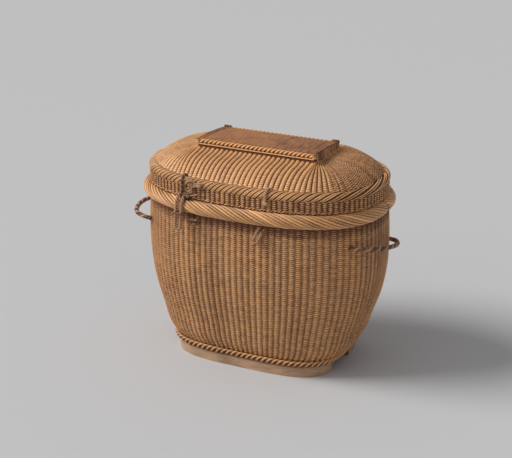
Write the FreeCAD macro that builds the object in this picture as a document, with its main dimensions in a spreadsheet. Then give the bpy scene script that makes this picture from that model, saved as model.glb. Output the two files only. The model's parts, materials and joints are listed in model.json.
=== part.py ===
import FreeCAD, Part
import Sketcher
import math
import os

# Oval lidded willow basket, in millimetres.
# X runs along the oval, Y from front to back, Z up. The origin is on the floor under the middle
# of the whole object, and the plans are drawn round the oval's own middle.

SIZES = (
    # bent wooden foot
    ("rail_reach_end", 2.15), ("rail_reach_side", 3.6), ("rail_height", 12.0),
    ("rail_thickness", 7.0), ("rail_gap", 44.0), ("rail_gap_shift", -11.0), ("rail_round", 1.2),
    ("peg_radius", 1.1), ("peg_depth", 7.0), ("peg_reach", 3.0),
    # bottom
    ("base_thickness", 4.0), ("stick_radius", 2.0), ("stick_share", 0.163), ("stick_end", 14.0),
    # woven wall
    ("foot_length", 194.7), ("foot_width", 134.8), ("foot_power", 3.6),
    ("belly_over_end", 2.0), ("belly_over_side", -0.6),
    ("wall_thickness", 4.0), ("stake_count", 100), ("stake_relief", 1.1), ("foot_braid_radius", 1.8),
    # rolled rim
    ("rim_overhang", 7.5), ("rim_radius", 8.0), ("rim_height", 195.0),
    # lid
    ("lid_length", 280.0), ("lid_width", 184.0), ("lid_power", 2.5), ("lid_thickness", 4.0),
    ("skirt_height", 17.0),
    ("shoulder_radius", 5.5), ("shoulder_overhang", 0.5), ("shoulder_rise", 0.8),
    ("slope_start", 2.0), ("slope_height", 18.0), ("slope_power", 3.44), ("slope_thickness", 4.0),
    ("front_rib_count", 25), ("end_rib_count", 33), ("rib_relief", 1.6), ("end_relief_share", 0.2),
    ("straight_share", 1.04),
    # raised panel on the lid
    ("panel_length", 144.0), ("panel_width", 62.0), ("panel_margin", 1.5),
    ("slat_thickness", 3.0), ("slat_round", 0.8), ("slat_joint", 20.0), ("left_strip_width", 6.0),
    ("right_strip_width", 11.0), ("panel_wall", 4.0), ("panel_wall_height", 8.4),
    ("panel_wall_inset", 0.5),
    # hinge of twisted rings
    ("hinge_distance", 90.0), ("hinge_offset", 2.0), ("hinge_strand", 1.6), ("hinge_play", 0.5),
    # carrying loops
    ("handle_half_width", 48.0), ("handle_depth", 27.0), ("handle_bend", 19.0),
    ("handle_strand", 2.7), ("handle_root", 9.0),
    ("right_handle_drop", 42.0), ("right_handle_shift", -7.0), ("right_handle_rise_angle", 3.0),
    ("right_handle_roll_angle", -12.0), ("left_handle_drop", 36.0), ("left_handle_shift", -12.0),
    ("left_handle_rise_angle", 8.0), ("left_handle_roll_angle", -3.0),
    # fasteners
    ("fastener_strand", 1.3), ("hasp_place", -64.0), ("hasp_width", 6.8), ("hasp_drop", 25.0),
    ("hasp_lean", 3.6), ("hasp_play", 0.5), ("hasp_bend", 1.6), ("neck_bend", 6.0), ("hasp_end_bend", 2.7),
    ("eye_radius", 3.3), ("eye_strand", 1.2), ("eye_standoff", 2.3), ("binding_strand", 1.1),
    ("binding_share", 0.4), ("catch_width", 5.4), ("catch_standoff", 2.2), ("catch_bend", 2.0),
    ("left_catch_place", -44.0), ("left_catch_drop", 17.0), ("left_catch_length", 12.0),
    ("left_catch_angle", 90.0), ("right_catch_place", 35.0), ("right_catch_drop", 12.0),
    ("right_catch_length", 17.0), ("right_catch_angle", 23.0),
    ("stub_place", 40.0), ("stub_end", 8.0), ("tail_place", -50.0), ("tail_length", 14.0),
    ("tail_strand", 1.3), ("strand_lead_angle", 40.0),
    # running and seating gaps
    ("seat_gap", 0.2), ("lid_gap", 0.3), ("overrun", 2.0),
)

doc = FreeCAD.newDocument("lidded_basket")
sheet = doc.addObject("Spreadsheet::Sheet", "sizes")
for row, (alias, value) in enumerate(SIZES, 1):
    sheet.set("A%d" % row, alias)
    sheet.set("B%d" % row, str(value))
    sheet.setAlias("B%d" % row, alias)
doc.recompute()


def size(alias):
    return float(sheet.get(alias))


# How finely round forms are divided. Plain plans have a point for every second stake.
PLAN_COUNT = round(size("stake_count")) // 2
STEP_ANGLE = 30
SAMPLES_PER_SHARE = 8
SEWING_SHARE = 0.001
STRAND_SIDES = 6
ROD_STATIONS = 56
ROD_SIDES = 8


def vector(x, y, z):
    return FreeCAD.Vector(x, y, z)


def add_size(alias, value):
    """A size that follows from others, kept on the sheet for the expressions."""
    row = len(sheet.getUsedCells()) // 2 + 1
    sheet.set("A%d" % row, alias)
    sheet.set("B%d" % row, str(value))
    sheet.setAlias("B%d" % row, alias)
    doc.recompute()


# The rim and the wall's belly follow the lid, and the rails follow the wall's foot.
add_size("rim_length", size("lid_length") + 2 * size("rim_overhang"))
add_size("rim_width", size("lid_width") + 2 * size("rim_overhang"))
add_size("belly_length", size("lid_length") + 2 * size("belly_over_end"))
add_size("belly_width", size("lid_width") + 2 * size("belly_over_side"))
add_size("belly_power", size("lid_power"))
add_size("rail_length", size("foot_length") + 2 * size("rail_reach_end"))
add_size("rail_width", size("foot_width") + 2 * size("rail_reach_side"))


# Plans: every level of the basket is an oval |x/a|^n + |y/b|^n = 1.

def plan_y(x, length, width, corner):
    share = min(abs(2 * x / length), 1)
    return width / 2 * (1 - share ** corner) ** (1 / corner)


def oval_at(length, width, corner, shares):
    """Points of an oval at rising shares of its outline, starting at +X, anticlockwise."""
    samples = SAMPLES_PER_SHARE * len(shares)
    fine = []
    for i in range(samples + 1):
        angle = 2 * math.pi * i / samples
        c, s = math.cos(angle), math.sin(angle)
        fine.append((length / 2 * math.copysign(abs(c) ** (2 / corner), c),
                     width / 2 * math.copysign(abs(s) ** (2 / corner), s)))
    run = [0.0]
    for a, b in zip(fine, fine[1:]):
        run.append(run[-1] + math.dist(a, b))
    points = []
    j = 0
    for share in shares:
        goal = run[-1] * share
        while run[j + 1] <= goal:
            j += 1
        f = (goal - run[j]) / (run[j + 1] - run[j])
        points.append((fine[j][0] + f * (fine[j + 1][0] - fine[j][0]),
                       fine[j][1] + f * (fine[j + 1][1] - fine[j][1])))
    return points


def oval(length, width, corner, count):
    return oval_at(length, width, corner, [k / count for k in range(count)])


def level(points, height):
    corners = [vector(x, y, height) for x, y in points]
    return Part.makePolygon(corners + [corners[0]])


def ring_at(points, height):
    return [vector(x, y, height) for x, y in points]


def ribbed_ring(length, width, corner, height, ribs, relief):
    """A closed outline whose ribs stand up to the oval, with a valley between each two."""
    ridge = oval(length, width, corner, 2 * ribs)
    valley = oval(length - 2 * relief, width - 2 * relief, corner, 2 * ribs)
    return ring_at([ridge[k] if k % 2 == 0 else valley[k] for k in range(2 * ribs)], height)


def oval_prism(length, width, corner, bottom, top):
    face = Part.Face(level(oval(length, width, corner, PLAN_COUNT), bottom))
    return face.extrude(vector(0, 0, top - bottom))


# Skins of flat triangles between rings of points.

def joined(a, b):
    """Triangles between two closed rings, of which one has a whole multiple of the other's points."""
    if len(a) < len(b):
        return [(p, r, q) for p, q, r in joined(b, a)]
    triangles = []
    if len(a) == 1:
        return triangles
    many = len(a) // len(b)
    for j in range(len(b)):
        this, following = b[j], b[(j + 1) % len(b)]
        for i in range(many):
            near_this = i < many / 2
            triangles.append((a[j * many + i], a[(j * many + i + 1) % len(a)],
                              this if near_this else following))
            if i + 1 == math.ceil(many / 2) and len(b) > 1:
                triangles.append((a[(j * many + i + 1) % len(a)], following, this))
    return triangles


def solid_of(rings):
    """The solid whose skin runs from ring to ring and back from the last to the first."""
    points, numbers = [], []
    for ring in rings:
        numbers.append(range(len(points), len(points) + len(ring)))
        points += ring
    triangles = []
    for a, b in zip(numbers, numbers[1:] + numbers[:1]):
        triangles += joined(a, b)
    skin = Part.Shape()
    skin.makeShapeFromMesh((points, triangles), SEWING_SHARE * size("seat_gap"))
    solid = Part.makeSolid(skin)
    if solid.Volume < 0:
        solid.reverse()
    return solid


# Round strands have many-sided sections square to their line.

def strand(points, radius, closed=False, sides=STRAND_SIDES):
    last = len(points) - 1
    normal = None
    sections = []
    for k, point in enumerate(points):
        if closed:
            along = points[(k + 1) % len(points)] - points[k - 1]
        else:
            along = points[min(k + 1, last)] - points[max(k - 1, 0)]
        along.normalize()
        if normal is None:
            normal = vector(0, 0, 1) if abs(along.z) < abs(along.x) + abs(along.y) else vector(1, 0, 0)
        normal = (normal - along * normal.dot(along)).normalize()
        side = along.cross(normal)
        corners = []
        for j in range(sides):
            angle = 2 * math.pi * j / sides
            corners.append(point + normal * (radius * math.cos(angle))
                           + side * (radius * math.sin(angle)))
        sections.append(corners)
    return solid_of(sections if closed else [[points[0]]] + sections + [[points[-1]]])


def arc_points(centre, first, last, turn):
    """Points from first to last round a centre, in even steps of at most STEP_ANGLE degrees."""
    steps = max(math.ceil(math.degrees(turn) / STEP_ANGLE), 1)
    a, b = first - centre, last - centre
    points = []
    for i in range(steps + 1):
        share = i / steps
        points.append(centre + a * (math.sin((1 - share) * turn) / math.sin(turn))
                      + b * (math.sin(share * turn) / math.sin(turn)))
    return points


def bent(points, bends, closed=False):
    """The line through the points with each corner rounded by its own bend radius."""
    line = [] if closed else [points[0]]
    corners = range(len(points)) if closed else range(1, len(points) - 1)
    for k, bend in zip(corners, bends):
        corner = points[k]
        into = (corner - points[k - 1]).normalize()
        out = (points[(k + 1) % len(points)] - corner).normalize()
        turn = into.getAngle(out)
        back = bend * math.tan(turn / 2)
        centre = corner + (out - into).normalize() * (bend / math.cos(turn / 2))
        line += arc_points(centre, corner - into * back, corner + out * back, turn)
    return line if closed else line + [points[-1]]


def oval_ring(length, width, corner, height, radius, stations=ROD_STATIONS, sides=ROD_SIDES):
    """A round rod bent along an oval; its outermost reach is the length and width given."""
    path = oval(length - 2 * radius, width - 2 * radius, corner, stations)
    return strand([vector(x, y, height) for x, y in path], radius, True, sides)


def piece(label, shape):
    feature = doc.addObject("Part::Feature", label)
    feature.Shape = shape
    feature.Label = label
    feature.Placement = FreeCAD.Placement(vector(0, size("middle_y"), 0), FreeCAD.Rotation())
    return feature


# The wall's own outline, used by everything that sits on it.
# Each row: share of the height, share of the growth from the foot to the belly.
WALL_SHARES = ((0, 0), (0.103, 0.368), (0.417, 0.834), (0.617, 0.983), (0.817, 1.0), (1, 0.962))

wall_bottom = size("rail_height") + size("seat_gap")
wall_top = size("rim_height") - size("rim_radius") - size("seat_gap")


def wall_share(height):
    up = (height - wall_bottom) / (wall_top - wall_bottom)
    for (low, start), (high, end) in zip(WALL_SHARES, WALL_SHARES[1:]):
        if up <= high:
            break
    return start + (end - start) * (up - low) / (high - low)


def wall_plan(height):
    share = wall_share(height)
    return tuple(size("foot_" + word) + share * (size("belly_" + word) - size("foot_" + word))
                 for word in ("length", "width", "power"))


def wall_y(x, height):
    return plan_y(x, *wall_plan(height))


def wall_levels():
    return [wall_bottom + share * (wall_top - wall_bottom) for share, growth in WALL_SHARES]


def make_wall():
    relief = size("stake_relief")
    inside = 2 * size("wall_thickness")
    ribs = round(size("stake_count"))
    outer, inner = [], []
    for height in wall_levels():
        length, width, corner = wall_plan(height)
        outer.append(ribbed_ring(length, width, corner, height, ribs, relief))
        inner.append(ring_at(oval(length - inside, width - inside, corner, PLAN_COUNT), height))
    shell = solid_of(outer + inner[::-1])
    for x in hinge_places:
        shell = shell.cut(hinge_hole(x))
    for x, y in peg_places:
        depth = size("peg_reach") + size("seat_gap")
        radius = size("peg_radius") + size("seat_gap") / 2
        shell = shell.cut(Part.makeCylinder(radius, depth, vector(x, y, wall_bottom)))
    return shell


# Hinge: two stiff twisted rings go round the rim and through the lid's skirt. The lid turns
# on their common axis, which lies a little outside and above the middle of the rim's rod.
rim_half_width = size("rim_width") / 2 - size("rim_radius")
hinge_y = rim_half_width + size("hinge_offset")
hinge_z = size("rim_height") + size("hinge_offset")
hinge_places = (-size("hinge_distance") / 2, size("hinge_distance") / 2)


def rim_y(x):
    rod = 2 * size("rim_radius")
    return plan_y(x, size("rim_length") - rod, size("rim_width") - rod, size("lid_power"))


hinge_gap = math.dist((rim_y(hinge_places[1]), size("rim_height")), (hinge_y, hinge_z))
hinge_radius = hinge_gap + size("rim_radius") + size("hinge_strand") + size("hinge_play")


def ring_yz(x, y, z, radius, thick, stations=18):
    """A ring of round strand whose axis lies along X."""
    angles = [2 * math.pi * k / stations for k in range(stations)]
    line = [vector(x, y + radius * math.cos(a), z + radius * math.sin(a)) for a in angles]
    return strand(line, thick, True)


def hinge_hole(x):
    return ring_yz(x, hinge_y, hinge_z, hinge_radius, size("hinge_strand") + size("hinge_play"))


def make_hinge_ring(x):
    return ring_yz(x, hinge_y, hinge_z, hinge_radius, size("hinge_strand"))


# Foot: two bent rails, each a C in plan, that leave a gap at both ends of the oval.
def make_rail(side):
    thick = 2 * size("rail_thickness")
    length, width, corner = size("rail_length"), size("rail_width"), size("foot_power")
    top, rounding = size("rail_height"), size("rail_round")
    levels = []
    for height, inset in ((0, 0), (top - rounding, 0), (top, 2 * rounding)):
        levels.append(level(oval(length - inset, width - inset, corner, PLAN_COUNT), height))
    ring = Part.makeLoft(levels, True, True).cut(
        oval_prism(length - thick, width - thick, corner, 0, top))
    edge = size("rail_gap_shift") + side * size("rail_gap") / 2
    start = edge if side > 0 else edge - length
    rail = ring.common(Part.makeBox(length, length, top, vector(-length / 2, start, 0)))
    for x, y in peg_places:
        if y * side > 0:
            hole = Part.makeCylinder(size("peg_radius") + size("seat_gap") / 2, size("peg_depth"),
                                     vector(x, y, top - size("peg_depth")))
            rail = rail.cut(hole)
    return rail


def middle_of_wall_foot(x):
    thick = size("wall_thickness")
    return plan_y(x, size("foot_length") - thick, size("foot_width") - thick, size("foot_power"))


PEG_SHARES = (-0.28, 0.28)
peg_places = [(share * size("foot_length"), side * middle_of_wall_foot(share * size("foot_length")))
              for side in (-1, 1) for share in PEG_SHARES]


def make_pegs():
    pegs = []
    for number, (x, y) in enumerate(peg_places, 1):
        peg = doc.addObject("Part::Cylinder", "peg_%d" % number)
        peg.setExpression("Radius", "sizes.peg_radius")
        peg.setExpression("Height", "sizes.peg_depth + sizes.peg_reach")
        bottom = size("rail_height") - size("peg_depth") + size("seat_gap") / 2
        peg.Placement = FreeCAD.Placement(vector(x, y, bottom), FreeCAD.Rotation())
        pegs.append(peg)
    return group("foot_pegs", pegs)


def group(label, members):
    compound = doc.addObject("Part::Compound", label)
    compound.Links = members
    compound.Label = label
    compound.Placement = FreeCAD.Placement(vector(0, size("middle_y"), 0), FreeCAD.Rotation())
    return compound


# Bottom: an oval woven panel inside the wall's foot, on lengthwise sticks.
def make_base():
    inset = 2 * (size("wall_thickness") + size("seat_gap"))
    bottom = wall_bottom
    length, width, corner = size("foot_length"), size("foot_width"), size("foot_power")
    return oval_prism(length - inset, width - inset, corner, bottom, bottom + size("base_thickness"))


def make_sticks():
    sticks = []
    for number, row in enumerate((-2, -1, 0, 1, 2), 1):
        stick = doc.addObject("Part::Cylinder", "stick_%d" % number)
        stick.setExpression("Radius", "sizes.stick_radius")
        stick.setExpression("Height", "sizes.foot_length - 2 * sizes.wall_thickness"
                                      " - 2 * sizes.stick_end")
        start = -size("foot_length") / 2 + size("wall_thickness") + size("stick_end")
        under = wall_bottom - size("seat_gap") - size("stick_radius")
        place = vector(start, row * size("stick_share") * size("foot_width"), under)
        stick.Placement = FreeCAD.Placement(place, FreeCAD.Rotation(vector(0, 1, 0), 90))
        sticks.append(stick)
    return group("base_sticks", sticks)


# Plaited row on the flare of the wall just above the rails.
def make_foot_braid():
    radius = size("foot_braid_radius")
    low, high = wall_levels()[0], wall_levels()[1]
    run = (wall_plan(high)[0] - wall_plan(low)[0]) / 2
    rise = high - low
    slant = math.hypot(run, rise)
    out = (radius + size("seat_gap")) * rise / slant
    down = (radius + size("seat_gap")) * run / slant
    height = wall_bottom + radius
    length, width, corner = wall_plan(height + down)
    reach = 2 * (out + radius)
    return oval_ring(length + reach, width + reach, corner, height, radius, sides=STRAND_SIDES)


# Lid
lid_bottom = size("rim_height") + size("rim_radius") + size("lid_gap")
shoulder_z = lid_bottom + size("skirt_height") + size("shoulder_rise")
shoulder_length = size("lid_length") + 2 * size("shoulder_overhang")
shoulder_width = size("lid_width") + 2 * size("shoulder_overhang")


def shoulder_y(x):
    rod = 2 * size("shoulder_radius")
    return plan_y(x, shoulder_length - rod, shoulder_width - rod, size("lid_power"))


def make_shoulder():
    return oval_ring(shoulder_length, shoulder_width, size("lid_power"), shoulder_z,
                     size("shoulder_radius"))


def under_shoulder():
    """Heights of the skirt's outer and inner top edge; the slant between them clears the rod."""
    reach = size("shoulder_radius") + size("seat_gap")
    outer = size("shoulder_radius") - size("shoulder_overhang")
    inner = outer - size("lid_thickness")
    half_turn = (math.acos(inner / reach) - math.acos(outer / reach)) / 2
    reach = reach / math.cos(half_turn)
    return [shoulder_z - math.sqrt(reach ** 2 - across ** 2) for across in (outer, inner)]


def make_skirt():
    """The lid's upright side; its top edge slants to seat under the shoulder."""
    length, width, corner = size("lid_length"), size("lid_width"), size("lid_power")
    thick = size("lid_thickness")
    outer = oval(length, width, corner, PLAN_COUNT)
    inner = oval(length - 2 * thick, width - 2 * thick, corner, PLAN_COUNT)
    outer_top, inner_top = under_shoulder()
    skirt = Part.makeLoft([level(outer, lid_bottom), level(outer, outer_top),
                           level(inner, inner_top), level(inner, lid_bottom)], True, True, True)
    for x in hinge_places:
        skirt = skirt.cut(hinge_hole(x))
    return skirt


# Slope of the lid: rises steeply from the shoulder and flattens towards the panel. Its ribs run
# straight back over the front and the back and fan out round the ends.
SLOPE_SHARES = (0, 0.12, 0.26, 0.44, 0.66, 1)
slope_foot_length = shoulder_length - 2 * (size("shoulder_radius") + size("slope_start"))
slope_foot_width = shoulder_width - 2 * (size("shoulder_radius") + size("slope_start"))
slope_foot_z = (shoulder_z + size("seat_gap")
                + math.sqrt(size("shoulder_radius") ** 2 - size("slope_start") ** 2))
slope_top_z = slope_foot_z + size("slope_height")
front_ribs = round(size("front_rib_count"))
end_ribs = round(size("end_rib_count"))
rib_lines = 4 * (front_ribs + end_ribs)
FINE_STEPS = 10
FULL_RIBS_FROM = 0.45
FULL_RIBS_WITHIN = 0.3
INNER_EVERY = 4


def between(value, marks, results):
    """The result at a value that lies between two of the marks."""
    for k in range(len(marks) - 1):
        if value <= marks[k + 1]:
            break
    part = (value - marks[k]) / (marks[k + 1] - marks[k])
    return results[k] + part * (results[k + 1] - results[k])


def rib_ends():
    """Foot and top of every line up the slope, two lines for each rib, from the middle of +X."""
    half_x = size("panel_length") / 2 - size("panel_margin")
    half_y = size("panel_width") / 2 - size("panel_margin")
    fine = oval(slope_foot_length, slope_foot_width, size("lid_power"),
                FINE_STEPS * rib_lines)
    straight = size("straight_share") * half_x
    corner = [x < straight for x, y in fine].index(True) / len(fine)
    corners = (0, corner, 0.5 - corner, 0.5 + corner, 1 - corner, 1)
    front, back = end_ribs + 2 * front_ribs, 3 * end_ribs + 2 * front_ribs
    marks = (0, end_ribs, front, back, rib_lines - end_ribs, rib_lines)
    feet = oval_at(slope_foot_length, slope_foot_width, size("lid_power"),
                   [between(k, marks, corners) for k in range(rib_lines)])
    tops = [(between(k, marks, (half_x, half_x, -half_x, -half_x, half_x, half_x)),
             between(k, marks, (0, half_y, half_y, -half_y, -half_y, 0))) for k in range(rib_lines)]
    return feet, tops


def rib_depth(line):
    """The relief of the ribs at a line: full at the front and back, low at the ends."""
    from_end = min(line % (rib_lines // 2), -line % (rib_lines // 2)) / end_ribs
    full = min(max((from_end - FULL_RIBS_FROM) / FULL_RIBS_WITHIN, 0), 1)
    least = size("end_relief_share")
    return size("rib_relief") * (least + (1 - least) * full)


def slope_ring(share, relief=1, inset=0, every=1):
    """A ring of points round the slope; with an inset, a ring inside its thickness."""
    height = slope_foot_z + size("slope_height") * (1 - (1 - share) ** size("slope_power"))
    climb = size("slope_height") * size("slope_power") * (1 - share) ** (size("slope_power") - 1)
    ring = []
    for line, (foot, top) in enumerate(zip(*rib_ends())):
        if line % every:
            continue
        run = math.dist(foot, top)
        inward = ((top[0] - foot[0]) / run, (top[1] - foot[1]) / run)
        slant = math.hypot(climb / run, 1)
        depth = rib_depth(line) * relief * (line % 2)
        x = foot[0] + share * (top[0] - foot[0])
        y = foot[1] + share * (top[1] - foot[1])
        back = depth * climb / run / slant + inset * (1 - share)
        ring.append(vector(x + inward[0] * back, y + inward[1] * back,
                           height - depth / slant * min(share / SLOPE_SHARES[1], 1) - inset * share))
    return ring


def slope_body():
    """The slope's outer form as a full body, for cutting strands that lie on it."""
    rings = [slope_ring(share) for share in SLOPE_SHARES]
    return solid_of([[vector(0, 0, slope_foot_z)]] + rings + [[vector(0, 0, slope_top_z)]])


def make_slope():
    inset = size("slope_thickness") + size("rib_relief")
    outer = [slope_ring(share) for share in SLOPE_SHARES]
    inner = [slope_ring(share, 0, inset, INNER_EVERY) for share in SLOPE_SHARES]
    top, under = vector(0, 0, slope_top_z), vector(0, 0, slope_top_z - inset)
    return solid_of(outer + [[top], [under]] + inner[::-1])


# Raised panel: four low woven walls carry flat wooden slats between two end strips.
def slab(label, middle_x, middle_y, long_x, long_y, bottom, thick, rounding):
    """A flat rectangular piece; the arguments are expressions, None for x = 0."""
    body = doc.addObject("PartDesign::Body", label)
    body.Label = label
    sketch = body.newObject("Sketcher::SketchObject", label + "_plan")
    plane = [p for p in body.Origin.OriginFeatures if p.Role == "XY_Plane"][0]
    sketch.AttachmentSupport = [(plane, "")]
    sketch.MapMode = "FlatFace"
    half = size("panel_wall") / 2
    corners = [vector(-half, -half, 0), vector(half, -half, 0), vector(half, half, 0),
               vector(-half, half, 0)]
    for a, b in zip(corners, corners[1:] + corners[:1]):
        sketch.addGeometry(Part.LineSegment(a, b))
    sides = range(len(corners))
    for side in sides:
        sketch.addConstraint(Sketcher.Constraint("Coincident", side, 2, (side + 1) % len(corners), 1))
    for side in (0, 2):
        sketch.addConstraint(Sketcher.Constraint("Horizontal", side))
    for side in (1, 3):
        sketch.addConstraint(Sketcher.Constraint("Vertical", side))
    sketch.addConstraint(Sketcher.Constraint("Symmetric", 0, 1, 1, 2, -1, 1))
    across = sketch.addConstraint(Sketcher.Constraint("DistanceX", 0, 1, 0, 2, 2 * half))
    along = sketch.addConstraint(Sketcher.Constraint("DistanceY", 1, 1, 1, 2, 2 * half))
    sketch.setExpression("Constraints[%d]" % across, long_x)
    sketch.setExpression("Constraints[%d]" % along, long_y)
    pad = body.newObject("PartDesign::Pad", label + "_pad")
    pad.Profile = sketch
    pad.setExpression("Length", thick)
    doc.recompute()
    top = pad.Shape.BoundBox.ZMax
    rims = ["Edge%d" % number for number, edge in enumerate(pad.Shape.Edges, 1)
            if edge.BoundBox.ZMin > top - size("seat_gap")]
    fillet = body.newObject("PartDesign::Fillet", label + "_round")
    fillet.Base = (pad, rims)
    fillet.setExpression("Radius", rounding)
    body.Tip = fillet
    for axis, place in (("x", middle_x), ("y", middle_y), ("z", bottom)):
        if place is not None:
            body.setExpression("Placement.Base." + axis, place)
    return body


def strand_over_shoulder(x, end_z):
    """A strand from the slope over the shoulder and down in front of the skirt."""
    thick = size("fastener_strand")
    middle = vector(x, -shoulder_y(x), shoulder_z)
    radius = size("shoulder_radius") + size("seat_gap") + thick
    lead = math.radians(size("strand_lead_angle"))
    start = middle + vector(0, math.sin(lead), math.cos(lead)) * radius
    side = middle - vector(0, radius, 0)
    line = arc_points(middle, start, side, math.pi / 2 + lead)
    line.append(vector(x, side.y, end_z))
    shape = strand(line, thick).cut(slope_body())
    return max(shape.Solids, key=lambda part: part.Volume)


def lid_prism():
    return oval_prism(size("lid_length"), size("lid_width"), size("lid_power"), lid_bottom,
                      shoulder_z - size("shoulder_radius"))


# Left fastener: an eye on the skirt carries a long loop that hangs over the rim.
def skirt_y(x):
    return plan_y(x, size("lid_length"), size("lid_width"), size("lid_power"))


eye_x = size("hasp_place")
eye_y = -skirt_y(eye_x) - size("eye_standoff")
eye_z = lid_bottom + size("eye_radius") + size("eye_strand")


def make_eye():
    eye = ring_yz(eye_x, eye_y, eye_z, size("eye_radius"), size("eye_strand"), 12).cut(lid_prism())
    return max(eye.Solids, key=lambda part: part.Volume)


def hasp_side():
    """The hasp's line in the YZ plane: eye, bend over the rim, lower end."""
    rod_y, rod_z = -rim_y(eye_x), size("rim_height")
    clear = size("rim_radius") + size("fastener_strand") + size("hasp_play")
    neck = (rod_y - clear, rod_z + clear / 2)
    end_y = rod_y - clear - size("hasp_lean")
    return neck, (end_y, size("rim_height") - size("hasp_drop"))


def make_hasp():
    neck, end = hasp_side()
    half = size("hasp_width") / 2
    corners = [(eye_y, eye_z), neck, end]
    points = [vector(eye_x - half, y, z) for y, z in corners]
    points += [vector(eye_x + half, y, z) for y, z in reversed(corners)]
    bends = (size("hasp_bend"), size("neck_bend"), size("hasp_end_bend"))
    return strand(bent(points, bends + bends[::-1], True), size("fastener_strand"), True)


def make_binding():
    """The turn of strand that ties the hasp's two sides together below the rim."""
    neck, end = hasp_side()
    share = size("binding_share")
    middle = vector(eye_x, neck[0] + share * (end[0] - neck[0]), neck[1] + share * (end[1] - neck[1]))
    run = math.dist(neck, end)
    out = vector(0, (end[1] - neck[1]) / run, (neck[0] - end[0]) / run)
    wrap = size("fastener_strand") + size("binding_strand") + size("seat_gap") / 2
    line = []
    steps = 3
    for way in (1, -1):
        centre = middle + vector(way * size("hasp_width") / 2, 0, 0)
        for step in range(steps + 1):
            angle = math.pi * step / steps
            line.append(centre + out * (-way * wrap * math.cos(angle))
                        + vector(way * wrap * math.sin(angle), 0, 0))
    return strand(line, size("binding_strand"), True)


def wall_loop(place, height, length, turn):
    """A small loop of two strands that leaves the wall and lies along it."""
    thick = size("fastener_strand")
    angle = math.radians(turn)
    lean_x, lean_z = -math.sin(angle), -math.cos(angle)
    half = size("catch_width") / 2
    out = thick + size("catch_standoff")
    inside = size("wall_thickness") / 2
    line = ((0, -inside, -half), (0, out, -half), (length, out, -half), (length, out, half),
            (0, out, half), (0, -inside, half))
    points = []
    for along, away, across in line:
        x = place + lean_x * along - lean_z * across
        z = height + lean_z * along + lean_x * across
        points.append(vector(x, -wall_y(x, z) - away, z))
    bend = size("catch_bend")
    return clear_of_wall(strand(bent(points, (bend, bend, bend, bend)), thick))


def clear_of_wall(shape):
    """The part of a strand that lies outside the wall, with the seating gap."""
    box = shape.BoundBox
    low = max(box.ZMin - size("overrun"), wall_bottom)
    high = min(box.ZMax + size("overrun"), wall_top)
    steps = 4
    heights = [low + (high - low) * step / steps for step in range(steps + 1)]
    gap = 2 * size("seat_gap")
    levels = []
    for height in heights:
        length, width, corner = wall_plan(height)
        levels.append(level(oval(length + gap, width + gap, corner, 2 * PLAN_COUNT), height))
    shape = shape.cut(Part.makeLoft(levels, True, True))
    return max(shape.Solids, key=lambda part: part.Volume)


def make_tail():
    """The loose end of the left fastener's strand, lying along the shoulder."""
    thick = size("tail_strand")
    x = size("tail_place")
    away = size("shoulder_radius") + thick + size("seat_gap")
    points = []
    for along in (0, size("tail_length")):
        points.append(vector(x + along, -shoulder_y(x + along) - away, shoulder_z))
    return strand(points, thick)


# Carrying loops at the two ends: an oval of three arcs with its roots in the wall.
def make_handle(side, height, shift, rise, roll):
    half, depth, bend = size("handle_half_width"), size("handle_depth"), size("handle_bend")
    wide = ((half - bend) ** 2 + depth ** 2 - bend ** 2) / (2 * (depth - bend))
    small = vector(0, half - bend, 0)
    big = vector(depth - wide, 0, 0)
    touch = small + (small - big).normalize() * bend
    turn = vector(0, 1, 0).getAngle(touch - small)
    tip = vector(depth, 0, 0)
    quarter = [vector(-size("handle_root"), half, 0)]
    quarter += arc_points(small, vector(0, half, 0), touch, turn)
    quarter += arc_points(big, touch, tip, vector(1, 0, 0).getAngle(touch - big))[1:]
    line = quarter + [vector(point.x, -point.y, 0) for point in reversed(quarter[:-1])]
    loop = strand(line, size("handle_strand"))
    loop.rotate(vector(0, 0, 0), vector(0, 1, 0), -rise)
    if side < 0:
        loop.rotate(vector(0, 0, 0), vector(0, 0, 1), 180)
    loop.rotate(vector(0, 0, 0), vector(1, 0, 0), roll)
    length, width, corner = wall_plan(height)
    loop.translate(vector(side * plan_y(half, width, length, corner), shift, height))
    return clear_of_wall(loop)


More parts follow.
